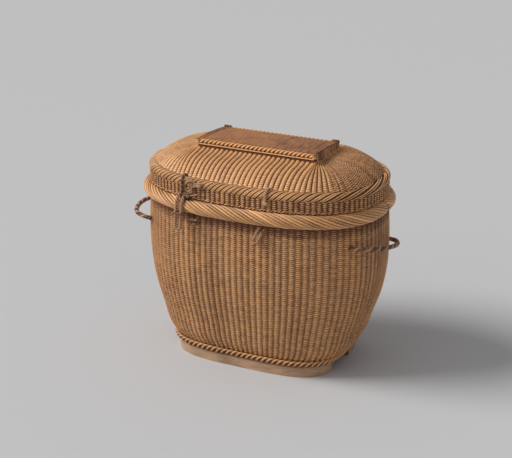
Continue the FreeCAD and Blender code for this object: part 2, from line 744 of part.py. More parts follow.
def make_panel():
    """The raised panel, with its places written as expressions on the sheet."""
    gap = "sizes.seat_gap"
    ends = "sizes.panel_length / 2"
    foot = ("sizes.rim_height + sizes.rim_radius + sizes.lid_gap + sizes.skirt_height"
            " + sizes.shoulder_rise + sqrt(sizes.shoulder_radius ^ 2 - sizes.slope_start ^ 2)"
            " + sizes.slope_height + 2 * sizes.seat_gap")
    top = foot + " + sizes.panel_wall_height + sizes.seat_gap"
    edge = "(sizes.panel_width / 2 - sizes.panel_wall_inset - sizes.panel_wall / 2)"
    end = "(%s - sizes.panel_wall_inset - sizes.panel_wall / 2)" % ends
    long_wall = "sizes.panel_length - 2 * sizes.panel_wall_inset"
    short_wall = ("sizes.panel_width - 2 * sizes.panel_wall_inset - 2 * sizes.panel_wall"
                  " - 2 * sizes.seat_gap")
    wall = ("sizes.panel_wall", foot, "sizes.panel_wall_height", "sizes.slat_round")
    flat = (top, "sizes.slat_thickness", "sizes.slat_round")
    left_end = "-%s + sizes.left_strip_width" % ends
    right_end = "%s - sizes.right_strip_width" % ends
    joint = "sizes.slat_joint"
    middle = "sizes.middle_y"
    return [
        slab("panel_band_front", None, "sizes.middle_y - " + edge, long_wall, *wall),
        slab("panel_band_rear", None, "sizes.middle_y + " + edge, long_wall, *wall),
        slab("panel_end_wall_left", "-" + end, middle, wall[0], short_wall, *wall[1:]),
        slab("panel_end_wall_right", end, middle, wall[0], short_wall, *wall[1:]),
        slab("panel_end_strip_left", "-%s + sizes.left_strip_width / 2" % ends, middle,
             "sizes.left_strip_width", "sizes.panel_width", *flat),
        slab("panel_slat_left", "((%s) + %s) / 2" % (left_end, joint), middle,
             "%s - (%s) - %s" % (joint, left_end, gap), "sizes.panel_width", *flat),
        slab("panel_slat_right", "((%s) + %s) / 2" % (right_end, joint), middle,
             "(%s) - %s - %s" % (right_end, joint, gap), "sizes.panel_width", *flat),
        slab("panel_end_strip_right", "%s - sizes.right_strip_width / 2" % ends, middle,
             "sizes.right_strip_width", "sizes.panel_width", *flat),
    ]


# The hinge rings reach further back than the fasteners reach forward. The frame's origin is under
# the middle of the whole object, so the oval's own middle lies a little in front of it.
back_reach = hinge_y + hinge_radius + size("hinge_strand")
front_reach = hasp_side()[1][0] - size("fastener_strand")
add_size("middle_y", -(back_reach + front_reach) / 2)

nodes = [
    piece("foot_rail_front", make_rail(-1)),
    piece("foot_rail_rear", make_rail(1)),
    make_pegs(),
    piece("base_panel", make_base()),
    make_sticks(),
    piece("foot_braid", make_foot_braid()),
    piece("wall_shell", make_wall()),
    piece("rim_roll", oval_ring(size("rim_length"), size("rim_width"), size("lid_power"),
                                size("rim_height"), size("rim_radius"))),
    piece("hinge_ring_left", make_hinge_ring(hinge_places[0])),
    piece("hinge_ring_right", make_hinge_ring(hinge_places[1])),
]
for name, side in (("left", -1), ("right", 1)):
    nodes.append(piece("handle_" + name, make_handle(
        side, size("rim_height") - size(name + "_handle_drop"), size(name + "_handle_shift"),
        size(name + "_handle_rise_angle"), size(name + "_handle_roll_angle"))))
    nodes.append(piece("catch_loop_" + name, wall_loop(
        size(name + "_catch_place"), size("rim_height") - size(name + "_catch_drop"),
        size(name + "_catch_length"), size(name + "_catch_angle"))))
nodes += [
    piece("lid_skirt", make_skirt()),
    piece("lid_shoulder_braid", make_shoulder()),
    piece("lid_slope", make_slope()),
    *make_panel(),
    piece("hasp_arch_left", strand_over_shoulder(eye_x, eye_z + size("eye_radius")
                                                 + 2 * size("eye_strand"))),
    piece("hasp_eye_left", make_eye()),
    piece("hasp_tail_left", make_tail()),
    piece("hasp_stub_right", strand_over_shoulder(size("stub_place"),
                                                  shoulder_z - size("stub_end"))),
    piece("hasp_loop_left", make_hasp()),
    piece("hasp_binding_left", make_binding()),
]

doc.recompute()
for obj in doc.Objects:
    if "Invalid" in obj.State or "Error" in obj.State:
        raise RuntimeError("%s could not be made: %s" % (obj.Label, obj.State))
for obj in nodes:
    if obj.Shape.isNull() or not obj.Shape.isValid():
        raise RuntimeError("%s has no valid shape" % obj.Label)

os.makedirs("parts", exist_ok=True)
for obj in nodes:
    obj.Shape.exportStep(os.path.join("parts", obj.Label + ".step"))
    print(obj.Label, len(obj.Shape.Solids), round(obj.Shape.Volume, 1))
shift = size("middle_y")
print("hinge", round(hinge_y + shift, 3), round(hinge_z, 3), "eye", round(eye_x, 3),
      round(eye_y + shift, 3), round(eye_z, 3), "middle", round(shift, 3))
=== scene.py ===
import json
import math

import bpy
import numpy as np
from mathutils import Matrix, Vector


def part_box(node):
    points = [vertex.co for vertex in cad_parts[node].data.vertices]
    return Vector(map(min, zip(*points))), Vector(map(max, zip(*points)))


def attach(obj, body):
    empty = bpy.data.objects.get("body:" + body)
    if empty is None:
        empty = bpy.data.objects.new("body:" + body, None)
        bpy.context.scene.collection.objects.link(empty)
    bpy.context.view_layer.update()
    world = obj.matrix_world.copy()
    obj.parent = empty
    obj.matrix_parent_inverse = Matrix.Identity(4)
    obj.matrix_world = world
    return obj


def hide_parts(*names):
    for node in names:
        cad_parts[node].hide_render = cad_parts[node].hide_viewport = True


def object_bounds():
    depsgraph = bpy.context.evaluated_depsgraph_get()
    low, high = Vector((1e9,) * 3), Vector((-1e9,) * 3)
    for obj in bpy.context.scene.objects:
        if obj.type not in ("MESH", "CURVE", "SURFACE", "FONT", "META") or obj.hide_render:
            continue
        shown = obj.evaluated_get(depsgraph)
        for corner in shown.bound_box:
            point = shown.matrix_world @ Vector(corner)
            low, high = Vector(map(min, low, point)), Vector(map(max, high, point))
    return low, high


# Oval lidded willow basket, in metres. Woven, plaited and twisted pieces stand for the plain
# solids. Pieces are worked out round the oval's own middle and set at its place in Y.
# A tint, tone or shade is added to the noise that mixes a material's two colours: more is paler.

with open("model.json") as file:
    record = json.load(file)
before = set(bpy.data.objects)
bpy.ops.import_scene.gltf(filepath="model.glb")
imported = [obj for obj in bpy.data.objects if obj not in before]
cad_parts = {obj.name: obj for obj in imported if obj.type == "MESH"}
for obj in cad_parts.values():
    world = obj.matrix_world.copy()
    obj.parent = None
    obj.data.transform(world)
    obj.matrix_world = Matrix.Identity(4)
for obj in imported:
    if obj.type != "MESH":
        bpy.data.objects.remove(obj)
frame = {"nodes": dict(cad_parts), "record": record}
cad_low, cad_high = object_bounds()
random = np.random.default_rng(7)
chance = random.standard_normal
scene = bpy.context.scene

MM = 0.001
SEAT_GAP = 0.2 * MM
LID_POWER = 2.5
FOOT_POWER = 3.6
OVAL_POINTS = 4001


def middle_of(node):
    low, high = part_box(node)
    return (low + high) / 2


def reach(node):
    """Length along X and depth along Y of a node's box."""
    low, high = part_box(node)
    return np.array([high.x - low.x, high.y - low.y])


def high_x(node):
    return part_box(node)[1].x


def low_z(node):
    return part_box(node)[0].z


def high_z(node):
    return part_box(node)[1].z


MIDDLE_Y = middle_of("rim_roll").y


# Plans: an oval |x/a|^n + |y/b|^n = 1, where n is its corner power

def oval(length, width, corner, shares):
    """Points at shares of the oval's outline, counted from +X."""
    angle = np.linspace(0, 2 * np.pi, OVAL_POINTS)
    c, s = np.cos(angle), np.sin(angle)
    x = length / 2 * np.sign(c) * np.abs(c) ** (2 / corner)
    y = width / 2 * np.sign(s) * np.abs(s) ** (2 / corner)
    run = np.concatenate([[0], np.cumsum(np.hypot(np.diff(x), np.diff(y)))])
    goal = np.mod(shares, 1.0) * run[-1]
    return np.stack([np.interp(goal, run, x), np.interp(goal, run, y)], -1)


def plan_y(x, length, width, corner):
    """Half the width of a plan at a place along it."""
    return width / 2 * (1 - min(abs(2 * x / length), 1) ** corner) ** (1 / corner)


def unit(v):
    return v / np.maximum(np.linalg.norm(v, axis=-1, keepdims=True), 1e-12)


# Meshes

SHARP_ANGLE = 35
ANY_GUIDE = (0.31, 0.17, 0.93)
GROOVE_SHADE_POWER = 1.5


def add_mesh(name, points, quads, material, body, stands_for=(), slot=None, tint=None, sharp=None):
    """A mesh that rides on a body, with its faces turned outward and a tint for each point."""
    points = np.asarray(points, float).reshape(-1, 3)
    a, b, c, d = points[quads.T]
    if (a * (np.cross(b, c) + np.cross(c, d))).sum() < 0:
        quads = quads[:, ::-1]
    points = points + (0, MIDDLE_Y, 0)
    starts = np.arange(0, quads.size, quads.shape[1], dtype=np.int32)
    mesh = bpy.data.meshes.new(name)
    mesh.vertices.add(len(points))
    mesh.vertices.foreach_set("co", points.astype(np.float32).ravel())
    mesh.loops.add(quads.size)
    mesh.loops.foreach_set("vertex_index", quads.astype(np.int32).ravel())
    mesh.polygons.add(len(quads))
    mesh.polygons.foreach_set("loop_start", starts)
    mesh.polygons.foreach_set("use_smooth", np.ones(len(quads), bool))
    if tint is not None:
        layer = mesh.attributes.new("tint", "FLOAT", "POINT")
        layer.data.foreach_set("value", np.asarray(tint, np.float32).ravel())
    mesh.update(calc_edges=True)
    mesh.validate()
    if sharp:
        mesh.set_sharp_from_angle(angle=math.radians(sharp))
    mesh.materials.append(material)
    obj = bpy.data.objects.new(name, mesh)
    scene.collection.objects.link(obj)
    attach(obj, body)
    if stands_for:
        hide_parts(*stands_for)
    return obj


def grid_quads(rows, columns, wrap_rows=False, wrap_columns=False):
    i = np.arange(rows if wrap_rows else rows - 1)
    j = np.arange(columns if wrap_columns else columns - 1)
    i, j = np.meshgrid(i, j, indexing="ij")
    a = i * columns + j
    b = i * columns + (j + 1) % columns
    c = ((i + 1) % rows) * columns + (j + 1) % columns
    d = ((i + 1) % rows) * columns + j
    return np.stack([a, b, c, d], -1).reshape(-1, 4)


def capped(rings):
    """The rings, with each end closed by one drawn together to its middle."""
    first, last = rings[:1], rings[-1:]
    return np.concatenate([first.mean(1, keepdims=True) + 0 * first, rings,
                           last.mean(1, keepdims=True) + 0 * last])


class Bundle:
    """Several strips and strands gathered into one mesh."""

    def __init__(self):
        self.points, self.quads, self.tints, self.count = [], [], [], 0

    def add(self, points, quads, tint):
        points = points.reshape(-1, 3)
        self.points.append(points)
        self.quads.append(quads + self.count)
        self.tints.append(np.broadcast_to(tint, len(points)) if np.ndim(tint) == 0 else tint.ravel())
        self.count += len(points)

    def mesh(self, name, material, body, stands_for=(), slot=None):
        return add_mesh(name, np.concatenate(self.points), np.concatenate(self.quads), material,
                        body, stands_for, slot, np.concatenate(self.tints))


def across_line(line, closed, guide):
    """Two directions square to a line at each of its points."""
    if closed:
        along = unit(np.roll(line, -1, 0) - np.roll(line, 1, 0))
    else:
        along = unit(np.gradient(line, axis=0))
    across = unit(np.cross(along, np.broadcast_to(guide, along.shape)))
    return across, np.cross(across, along)


def tube(bundle, line, radius, tint, closed=False, sides=7, guide=(0, 0, 1), outward=None,
         groove_shade=0.0):
    """A round strand along a line of points, with painted shade on the sides that face away from
    outward.
    """
    line = np.asarray(line, float)
    across, up = across_line(line, closed, guide)
    angle = np.linspace(0, 2 * np.pi, sides, endpoint=False)
    radius = np.broadcast_to(radius, len(line))[:, None, None]
    ring = (across[:, None] * np.cos(angle)[None, :, None]
            + up[:, None] * np.sin(angle)[None, :, None])
    if outward is not None:
        facing = np.clip((ring * outward[:, None]).sum(-1), 0, 1)
        tint = tint - groove_shade * (1 - facing) ** GROOVE_SHADE_POWER
    bundle.add(line[:, None] + ring * radius, grid_quads(len(line), sides, closed, True), tint)


# Materials

FINE_DETAIL = 3
WIDE_SCALE = 28
WIDE_DETAIL = 4
SMOOTHEST = -0.1
ROUGHEST = 0.15
BUMP_DEPTH = 0.2 * MM


def shader(name, dark, light, roughness=0.55, bump=0.25, streak=(1, 1, 1), scale=900, weight=0.5,
           edges=(0.25, 0.8)):
    """Willow or wood: two colours mixed by noise and by each strand's own tint.

    weight is the wide noise's share of the mix; edges are where dark and light begin.
    """
    material = bpy.data.materials.new(name)
    material.use_nodes = True
    nodes, link = material.node_tree.nodes, material.node_tree.links.new
    skin = nodes["Principled BSDF"]
    place = nodes.new("ShaderNodeTexCoord")
    stretch = nodes.new("ShaderNodeMapping")
    stretch.inputs["Scale"].default_value = streak
    link(place.outputs["Object"], stretch.inputs["Vector"])

    def noise(where, size, detail):
        node = nodes.new("ShaderNodeTexNoise")
        node.inputs["Scale"].default_value = size
        node.inputs["Detail"].default_value = detail
        link(where, node.inputs["Vector"])
        return node

    fine = noise(stretch.outputs["Vector"], scale, FINE_DETAIL)
    wide = noise(place.outputs["Object"], WIDE_SCALE, WIDE_DETAIL)
    own = nodes.new("ShaderNodeAttribute")
    own.attribute_name = "tint"
    grain = nodes.new("ShaderNodeMix")
    grain.inputs["Factor"].default_value = weight
    link(fine.outputs["Fac"], grain.inputs["A"])
    link(wide.outputs["Fac"], grain.inputs["B"])
    total = nodes.new("ShaderNodeMath")
    total.operation = "ADD"
    link(grain.outputs["Result"], total.inputs[0])
    link(own.outputs["Fac"], total.inputs[1])
    ramp = nodes.new("ShaderNodeValToRGB")
    for stop, edge, colour in zip(ramp.color_ramp.elements, edges, (dark, light)):
        stop.position = edge
        stop.color = (*colour, 1)
    link(total.outputs["Value"], ramp.inputs["Fac"])
    link(ramp.outputs["Color"], skin.inputs["Base Color"])
    rough = nodes.new("ShaderNodeMapRange")
    rough.inputs["To Min"].default_value = roughness + SMOOTHEST
    rough.inputs["To Max"].default_value = roughness + ROUGHEST
    link(fine.outputs["Fac"], rough.inputs["Value"])
    link(rough.outputs["Result"], skin.inputs["Roughness"])
    relief = nodes.new("ShaderNodeBump")
    relief.inputs["Strength"].default_value = bump
    relief.inputs["Distance"].default_value = BUMP_DEPTH
    link(fine.outputs["Fac"], relief.inputs["Height"])
    link(relief.outputs["Normal"], skin.inputs["Normal"])
    return material


willow = shader("woven_willow", (0.15, 0.043, 0.012), (0.95, 0.5, 0.21), weight=0.15,
                edges=(0.16, 0.64))
stake_willow = shader("stake_willow", (0.08, 0.022, 0.008), (0.42, 0.16, 0.05), edges=(0.2, 0.7))
rolled = shader("rolled_willow", (0.13, 0.043, 0.012), (0.93, 0.49, 0.2), roughness=0.42,
                weight=0.3, edges=(0.2, 0.7))
bent_wood = shader("bent_wood", (0.10, 0.05, 0.025), (0.62, 0.38, 0.23), streak=(0.08, 0.08, 1),
                   edges=(0.15, 0.65))
panel_wood = shader("panel_wood", (0.10, 0.03, 0.008), (0.62, 0.25, 0.08), roughness=0.45,
                    streak=(1, 0.03, 1), scale=1500, weight=0.3, edges=(0.32, 0.64))
withe = shader("twisted_withe", (0.05, 0.02, 0.012), (0.56, 0.31, 0.165), roughness=0.6,
               edges=(0.28, 0.75))


# Weave: each row is a flat strip that passes outside one stake and inside the next.
# Half widths are shares of the rows' pitch.

HALF_AT_STAKE = 0.82
HALF_BETWEEN = 0.6
WAVE_POWER = 1.1
DRIFT_SHARE = 0.05
EDGE_SHADE = 0.16
CROWN_HIGHLIGHT = 0.1
HOLLOW_SHADE = 0.24
COLUMN_SPREAD = 0.035
ROW_SPREAD = 0.015
DASH_SPREAD = 0.03
PLAN_STEP = 0.5 * MM
STAKE_POINTS = 24
STAKE_GUIDE = (1, 0.3, 0)
STAKE_SPREAD = 0.08


def weave(bundle, surface, rows, row_pitch, stake, swing, bulge, ridge=None, shade=None,
          hollow_shade=HOLLOW_SHADE, behind=None, at_stake=HALF_AT_STAKE):
    """surface(share, place) gives points; stake gives the stake number at each share.

    hollow paints shade on a strip where it dives between two stakes, behind where it lies inside
    one.
    """
    behind = hollow_shade if behind is None else behind
    count = len(stake)
    share = np.arange(count) / count
    columns = COLUMN_SPREAD * chance(int(stake[-1]) + 2)
    slow = np.interp(stake, np.arange(len(columns)), columns)
    number = np.round(stake).astype(int) % int(round(stake[-1] + 1))
    for row, place in enumerate(rows):
        wave = np.cos(np.pi * (stake + row))
        wave = np.sign(wave) * np.abs(wave) ** WAVE_POWER
        half = row_pitch * (HALF_BETWEEN + (at_stake - HALF_BETWEEN) * np.abs(wave))
        drift = (DRIFT_SHARE * row_pitch * chance(number.max() + 1))[number]
        middle = surface(share, place + drift)
        low = surface(share, place + drift - half)
        high = surface(share, place + drift + half)
        along = unit(np.roll(middle, -1, 0) - np.roll(middle, 1, 0))
        normal = unit(np.cross(along, unit(high - low)))
        lift = swing(share, place) * wave[:, None]
        if ridge is not None:
            lift = lift + ridge(share, place)
        edge = normal * lift
        crown = normal * (lift + bulge * wave[:, None])
        own = DASH_SPREAD * chance(number.max() + 1)
        tint = slow + ROW_SPREAD * chance() + own[number]
        tint = tint - np.where(wave < 0, behind, hollow_shade) * (1 - np.clip(wave, 0, 1)) ** 2
        if shade is not None:
            tint = tint + shade(share, place)
        # Painted shade on each strip's edges and a painted highlight on its crown.
        points = np.stack([low + edge, middle + crown, high + edge])
        bundle.add(points, grid_quads(3, count, False, True),
                   np.stack([tint - EDGE_SHADE, tint + CROWN_HIGHLIGHT, tint - EDGE_SHADE]))


def constant(value):
    return lambda share, place: np.full((len(share), 1), value)


def even_stakes(count, steps=6):
    return np.arange(count * steps) / steps


def hermite(x, knots, values):
    """A smooth line through the knots."""
    slope = np.gradient(values, knots)
    i = np.clip(np.searchsorted(knots, x) - 1, 0, len(knots) - 2)
    step = knots[i + 1] - knots[i]
    t = (x - knots[i]) / step
    return ((2 * t ** 3 - 3 * t ** 2 + 1) * values[i] + (t ** 3 - 2 * t ** 2 + t) * step * slope[i]
            + (3 * t ** 2 - 2 * t ** 3) * values[i + 1] + (t ** 3 - t ** 2) * step * slope[i + 1])


def level_surface(plan, inset):
    """Points at each share round the plan of each height."""
    def surface(share, heights):
        heights = np.broadcast_to(heights, share.shape)
        middle = heights.mean()
        length, width, power = plan(middle)
        longer, wider, other = plan(middle + PLAN_STEP)
        here = oval(length - 2 * inset, width - 2 * inset, power, share)
        above = oval(longer - 2 * inset, wider - 2 * inset, other, share)
        flat = here + (above - here) * ((heights - middle) / PLAN_STEP)[:, None]
        return np.concatenate([flat, heights[:, None]], 1)
    return surface


def stakes_of(bundle, surface, low, high, count, radius):
    heights = np.linspace(low, high, STAKE_POINTS)
    shares = np.arange(count) / count
    lines = np.stack([surface(shares, height) for height in heights])
    for k in range(count):
        tube(bundle, lines[:, k], radius, STAKE_SPREAD * chance(),
             guide=STAKE_GUIDE, sides=6)


# Wall, from the foot up to the rim. Its left end is woven flatter, with narrower strips, less
# painted shade where they dive between stakes and more where they lie inside them, so that the rows
# show there. The rows under the rim get painted shade.

WALL_STAKES = 100
WALL_STAKE = 0.75 * MM
WALL_ROW = 1.17 * MM
WALL_SWING = 1.05 * MM
WALL_BULGE = 0.5 * MM
WALL_SHARES = np.array([0, 0.103, 0.245, 0.417, 0.617, 0.817, 1])
GROWTH_SHARES = np.array([0, 0.368, 0.585, 0.834, 0.983, 1.0, 0.962])
FOOT_SIZE = np.array([194.7, 134.8]) * MM
UNDER_RIM = 14 * MM
UNDER_RIM_SHADE = -0.38
FLAT_PLACE = 0.57
FLAT_WITHIN = 0.085
FLAT_POWER = 4
FLAT_SWING = 0.55
FLAT_HOLLOW_SHADE_LESS = 0.16
FLAT_BEHIND_SHADE_MORE = 0.3
FLAT_NARROW = 0.2
wall_low, wall_high = low_z("wall_shell"), high_z("wall_shell")
belly_size = reach("wall_shell")


def wall_plan(height):
    up = np.clip((height - wall_low) / (wall_high - wall_low), 0, 1)
    grown = hermite(up, WALL_SHARES, GROWTH_SHARES)
    length, width = FOOT_SIZE + grown * (belly_size - FOOT_SIZE)
    return length, width, FOOT_POWER + grown * (LID_POWER - FOOT_POWER)


def make_wall():
    surface = level_surface(wall_plan, WALL_SWING + WALL_BULGE)
    rows = np.arange(wall_low + WALL_ROW, wall_high + 2 * WALL_ROW, WALL_ROW)

    def flat_end(share):
        """1 where the left end is woven flat, 0 elsewhere."""
        return np.exp(-((share - FLAT_PLACE) / FLAT_WITHIN) ** FLAT_POWER)

    def swing(share, place):
        return (WALL_SWING * (1 - FLAT_SWING * flat_end(share)))[:, None]

    def shade(share, place):
        return UNDER_RIM_SHADE * np.clip((place - wall_high + UNDER_RIM) / UNDER_RIM, 0, 1)

    strips = Bundle()
    stakes = even_stakes(WALL_STAKES)
    flat = flat_end(np.arange(len(stakes)) / len(stakes))
    weave(strips, surface, rows, WALL_ROW, stakes, swing, WALL_BULGE, shade=shade,
          hollow_shade=HOLLOW_SHADE - FLAT_HOLLOW_SHADE_LESS * flat, behind=HOLLOW_SHADE + FLAT_BEHIND_SHADE_MORE * flat,
          at_stake=HALF_AT_STAKE - FLAT_NARROW * flat)
    strips.mesh("wall_weave", willow, "basket", ("wall_shell",), "woven_willow")
    rods = Bundle()
    stakes_of(rods, surface, wall_low, wall_high, WALL_STAKES, WALL_STAKE)
    rods.mesh("wall_stakes", stake_willow, "basket", (), "woven_willow")


# Ropes: strands that wind round an oval ring, most of them over a core darkened with painted shade.
# The strands get painted shade in their grooves.

THICKNESS_SPREAD = 0.05
UPWARD = np.array([0, 0, 1.0])


def ring_frame(length, width, power, height, count):
    """The points of an oval ring and the level direction out of it at each of them."""
    share = np.arange(count) / count
    flat = oval(length, width, power, share)
    line = np.concatenate([flat, np.full((count, 1), height)], 1)
    along = unit(np.roll(line, -1, 0) - np.roll(line, 1, 0))
    out = np.stack([along[:, 1], -along[:, 0], np.zeros(count)], 1)
    return line, out


def wound_ring(bundle, line, out, around, strand, places, turns, spread=0.05, wobble=0.0, sides=8,
               groove_shade=0.4, up=UPWARD, brighten=0.0):
    """A strand from each place round the ring's section; turns is a number for each point."""
    for place in places:
        angle = 2 * np.pi * (place + turns)
        away = around * (1 + wobble * chance())
        outward = np.cos(angle)[:, None] * out + np.sin(angle)[:, None] * up
        thick = strand * (1 + THICKNESS_SPREAD * chance())
        tube(bundle, line + away * outward, thick, brighten + spread * chance(),
             closed=True, sides=sides, outward=unit(outward), groove_shade=groove_shade)


def ring_of(node, power, count):
    """The middle line of a node's ring, its outward directions and the ring's radius."""
    low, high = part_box(node)
    radius = (high.z - low.z) / 2
    length, width = reach(node) - 2 * radius
    line, out = ring_frame(length, width, power, (low.z + high.z) / 2, count)
    return line, out, radius


RIM_POINTS = 640
RIM_STRANDS = 13
RIM_TURNS = 7.6
RIM_STRAND = 1.75 * MM
RIM_WOBBLE = 0.012
RIM_GROOVE_SHADE = 0.75
RIM_TONE = 0.08
RIM_CORE = 1.4
RIM_CORE_SHADE = -0.5


def make_rim():
    line, out, radius = ring_of("rim_roll", LID_POWER, RIM_POINTS)
    roll = Bundle()
    turns = -RIM_TURNS * np.arange(RIM_POINTS) / RIM_POINTS
    # The strands get painted shade in their grooves.
    wound_ring(roll, line, out, radius - RIM_STRAND, RIM_STRAND,
               np.arange(RIM_STRANDS) / RIM_STRANDS, turns, wobble=RIM_WOBBLE, sides=12,
               groove_shade=RIM_GROOVE_SHADE, brighten=RIM_TONE)
    # The core under the strands is darkened with painted shade.
    tube(roll, line, radius - RIM_CORE * RIM_STRAND, RIM_CORE_SHADE, closed=True, sides=16)
    roll.mesh("rim_strands", rolled, "basket", ("rim_roll",), "rolled_willow")


SHOULDER_POINTS = 900
SHOULDER_PAIRS = 5
SHOULDER_PAIR_SHARE = 0.075
SHOULDER_TURNS = 20
SHOULDER_STRAND = 0.9 * MM
SHOULDER_WOBBLE = 0.02
SHOULDER_TONE = 0.1
SHOULDER_CORE = 1.6
SHOULDER_CORE_SHADE = -0.6
LONG_LAY = 0.8
LONG_LAY_PLACE = -0.1
LONG_LAY_WITHIN = 0.6


def pairs(count, apart):
    """Places of strands that lie two by two."""
    first = np.arange(count) / count
    return np.concatenate([first, first + apart])


def make_shoulder():
    """Pairs of strands laid steeply round a core darkened with painted shade, long and smooth
    towards the right end.
    """
    line, out, radius = ring_of("lid_shoulder_braid", LID_POWER, SHOULDER_POINTS)
    place = (np.arctan2(line[:, 1], line[:, 0]) - LONG_LAY_PLACE) / LONG_LAY_WITHIN
    turns = np.cumsum(1 - LONG_LAY * np.exp(-place ** 2))
    turns = turns / turns[-1] * SHOULDER_TURNS
    braid = Bundle()
    wound_ring(braid, line, out, radius - SHOULDER_STRAND, SHOULDER_STRAND,
               pairs(SHOULDER_PAIRS, SHOULDER_PAIR_SHARE), turns, wobble=SHOULDER_WOBBLE,
               brighten=SHOULDER_TONE)
    tube(braid, line, radius - SHOULDER_CORE * SHOULDER_STRAND, SHOULDER_CORE_SHADE, closed=True,
         sides=12)
    braid.mesh("shoulder_strands", rolled, "lid", ("lid_shoulder_braid",), "rolled_willow")


FOOT_BRAID_POINTS = 900
FOOT_BRAID_STRANDS = (0, 1 / 3, 2 / 3)
FOOT_BRAID_STRAND = 0.8
FOOT_BRAID_AROUND = 0.62
FOOT_BRAID_TURNS = 31
FOOT_BRAID_TALL = 3
FOOT_BRAID_TONE = 0.08
FOOT_BRAID_CORE_SHADE = -0.3
FLARE_ANGLE = 30


def make_foot_braid():
    """Three strands on a tall oval section that leans out as the wall does."""
    line, out, radius = ring_of("foot_braid", FOOT_POWER, FOOT_BRAID_POINTS)
    row = Bundle()
    strand = FOOT_BRAID_STRAND * radius
    around = FOOT_BRAID_AROUND * radius
    turns = FOOT_BRAID_TURNS * np.arange(FOOT_BRAID_POINTS) / FOOT_BRAID_POINTS
    flare = math.radians(FLARE_ANGLE)
    up = math.sin(flare) * out + math.cos(flare) * UPWARD
    away = math.cos(flare) * out - math.sin(flare) * UPWARD
    line = line + up * (around * FOOT_BRAID_TALL + strand - radius)
    wound_ring(row, line, away, around, strand, FOOT_BRAID_STRANDS, turns, sides=8,
               up=up * FOOT_BRAID_TALL, brighten=FOOT_BRAID_TONE)
    # The core under the strands is darkened with painted shade.
    tube(row, line, around, FOOT_BRAID_CORE_SHADE, closed=True, sides=6)
    row.mesh("foot_braid_strands", rolled, "basket", ("foot_braid",), "woven_willow")


# Foot rails: a strip of wood bent along the oval, with a rounded top and sawn ends darkened with
# painted shade

RAIL_POINTS = 900
RAIL_THICKNESS = 7 * MM
RAIL_ROUND = 1.2 * MM
RAIL_FOOT_ROUND = 0.4 * MM
RAIL_REACH = np.array([4.3, 7.2]) * MM
RAIL_END_SHADE = -0.6


def make_rail(node, side):
    low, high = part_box(node)
    edge = (high.y if side < 0 else low.y) - MIDDLE_Y
    top = high.z
    rounding = RAIL_ROUND * (1 - math.sqrt(0.5))
    section = [(RAIL_FOOT_ROUND, 0), (0, RAIL_FOOT_ROUND), (0, top - RAIL_ROUND),
               (rounding, top - rounding), (RAIL_ROUND, top),
               (RAIL_THICKNESS - RAIL_ROUND, top), (RAIL_THICKNESS - rounding, top - rounding),
               (RAIL_THICKNESS, top - RAIL_ROUND), (RAIL_THICKNESS, RAIL_FOOT_ROUND),
               (RAIL_THICKNESS - RAIL_FOOT_ROUND, 0)]
    shares = np.linspace(0, 1, RAIL_POINTS, endpoint=False)
    outline = oval(*(FOOT_SIZE + RAIL_REACH), FOOT_POWER, shares)
    shares = shares[outline[:, 1] * side >= edge * side]
    outline = oval(*(FOOT_SIZE + RAIL_REACH), FOOT_POWER, shares)
    along = unit(np.gradient(outline, axis=0))
    inward = np.stack([-along[:, 1], along[:, 0]], 1)
    rows = []
    for inset, height in section:
        flat = outline + inward * inset
        rows.append(np.concatenate([flat, np.full((len(flat), 1), height)], 1))
    rings = capped(np.stack(rows, 1))
    tint = np.zeros(rings.shape[:2])
    # The sawn ends are darkened with painted shade.
    tint[[0, -1]] = RAIL_END_SHADE
    add_mesh(node + "_strip", rings, grid_quads(len(rings), len(section), False, True),
             bent_wood, "basket", (node,), "bent_wood", tint, SHARP_ANGLE)


# Bottom: split rods woven across the lengthwise sticks

BOTTOM_ROW = 2.6 * MM
BOTTOM_STAKE = 9 * MM
BOTTOM_STEPS = 6
BOTTOM_WAVE = 0.2
BOTTOM_ROD = 0.48
BOTTOM_SPREAD = 0.1


def make_bottom():
    length, width = reach("base_panel")
    low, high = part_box("base_panel")
    panel = Bundle()
    rows = int(width / BOTTOM_ROW)
    for row in range(rows):
        y = (row + 0.5) / rows * width - width / 2
        half = plan_y(y, width, length, FOOT_POWER)
        x = np.linspace(-half, half, max(int(2 * half / BOTTOM_STAKE * BOTTOM_STEPS), BOTTOM_STEPS))
        wave = BOTTOM_WAVE * np.cos(np.pi * (x / BOTTOM_STAKE + row))
        z = (low.z + high.z) / 2 + (high.z - low.z) * wave
        line = np.stack([x, np.full(len(x), y), z], 1)
        tube(panel, line, BOTTOM_ROW * BOTTOM_ROD, BOTTOM_SPREAD * chance(),
             sides=6)
    panel.mesh("base_weave", willow, "basket", ("base_panel",), "woven_willow")


# Lid's skirt, with a thin two-strand rope along its lower edge

SKIRT_STAKES = 124
SKIRT_STAKE = 0.85 * MM
SKIRT_ROW = 1.15 * MM
SKIRT_SWING = 0.7 * MM
SKIRT_BULGE = 0.5 * MM
SKIRT_TONE = -0.07
SKIRT_HOLLOW_SHADE = 0.45
EDGE_POINTS = 1400
EDGE_STRAND = 0.75 * MM
EDGE_TURNS = 90


def skirt_plan(height):
    length, width = reach("lid_skirt")
    return length, width, LID_POWER


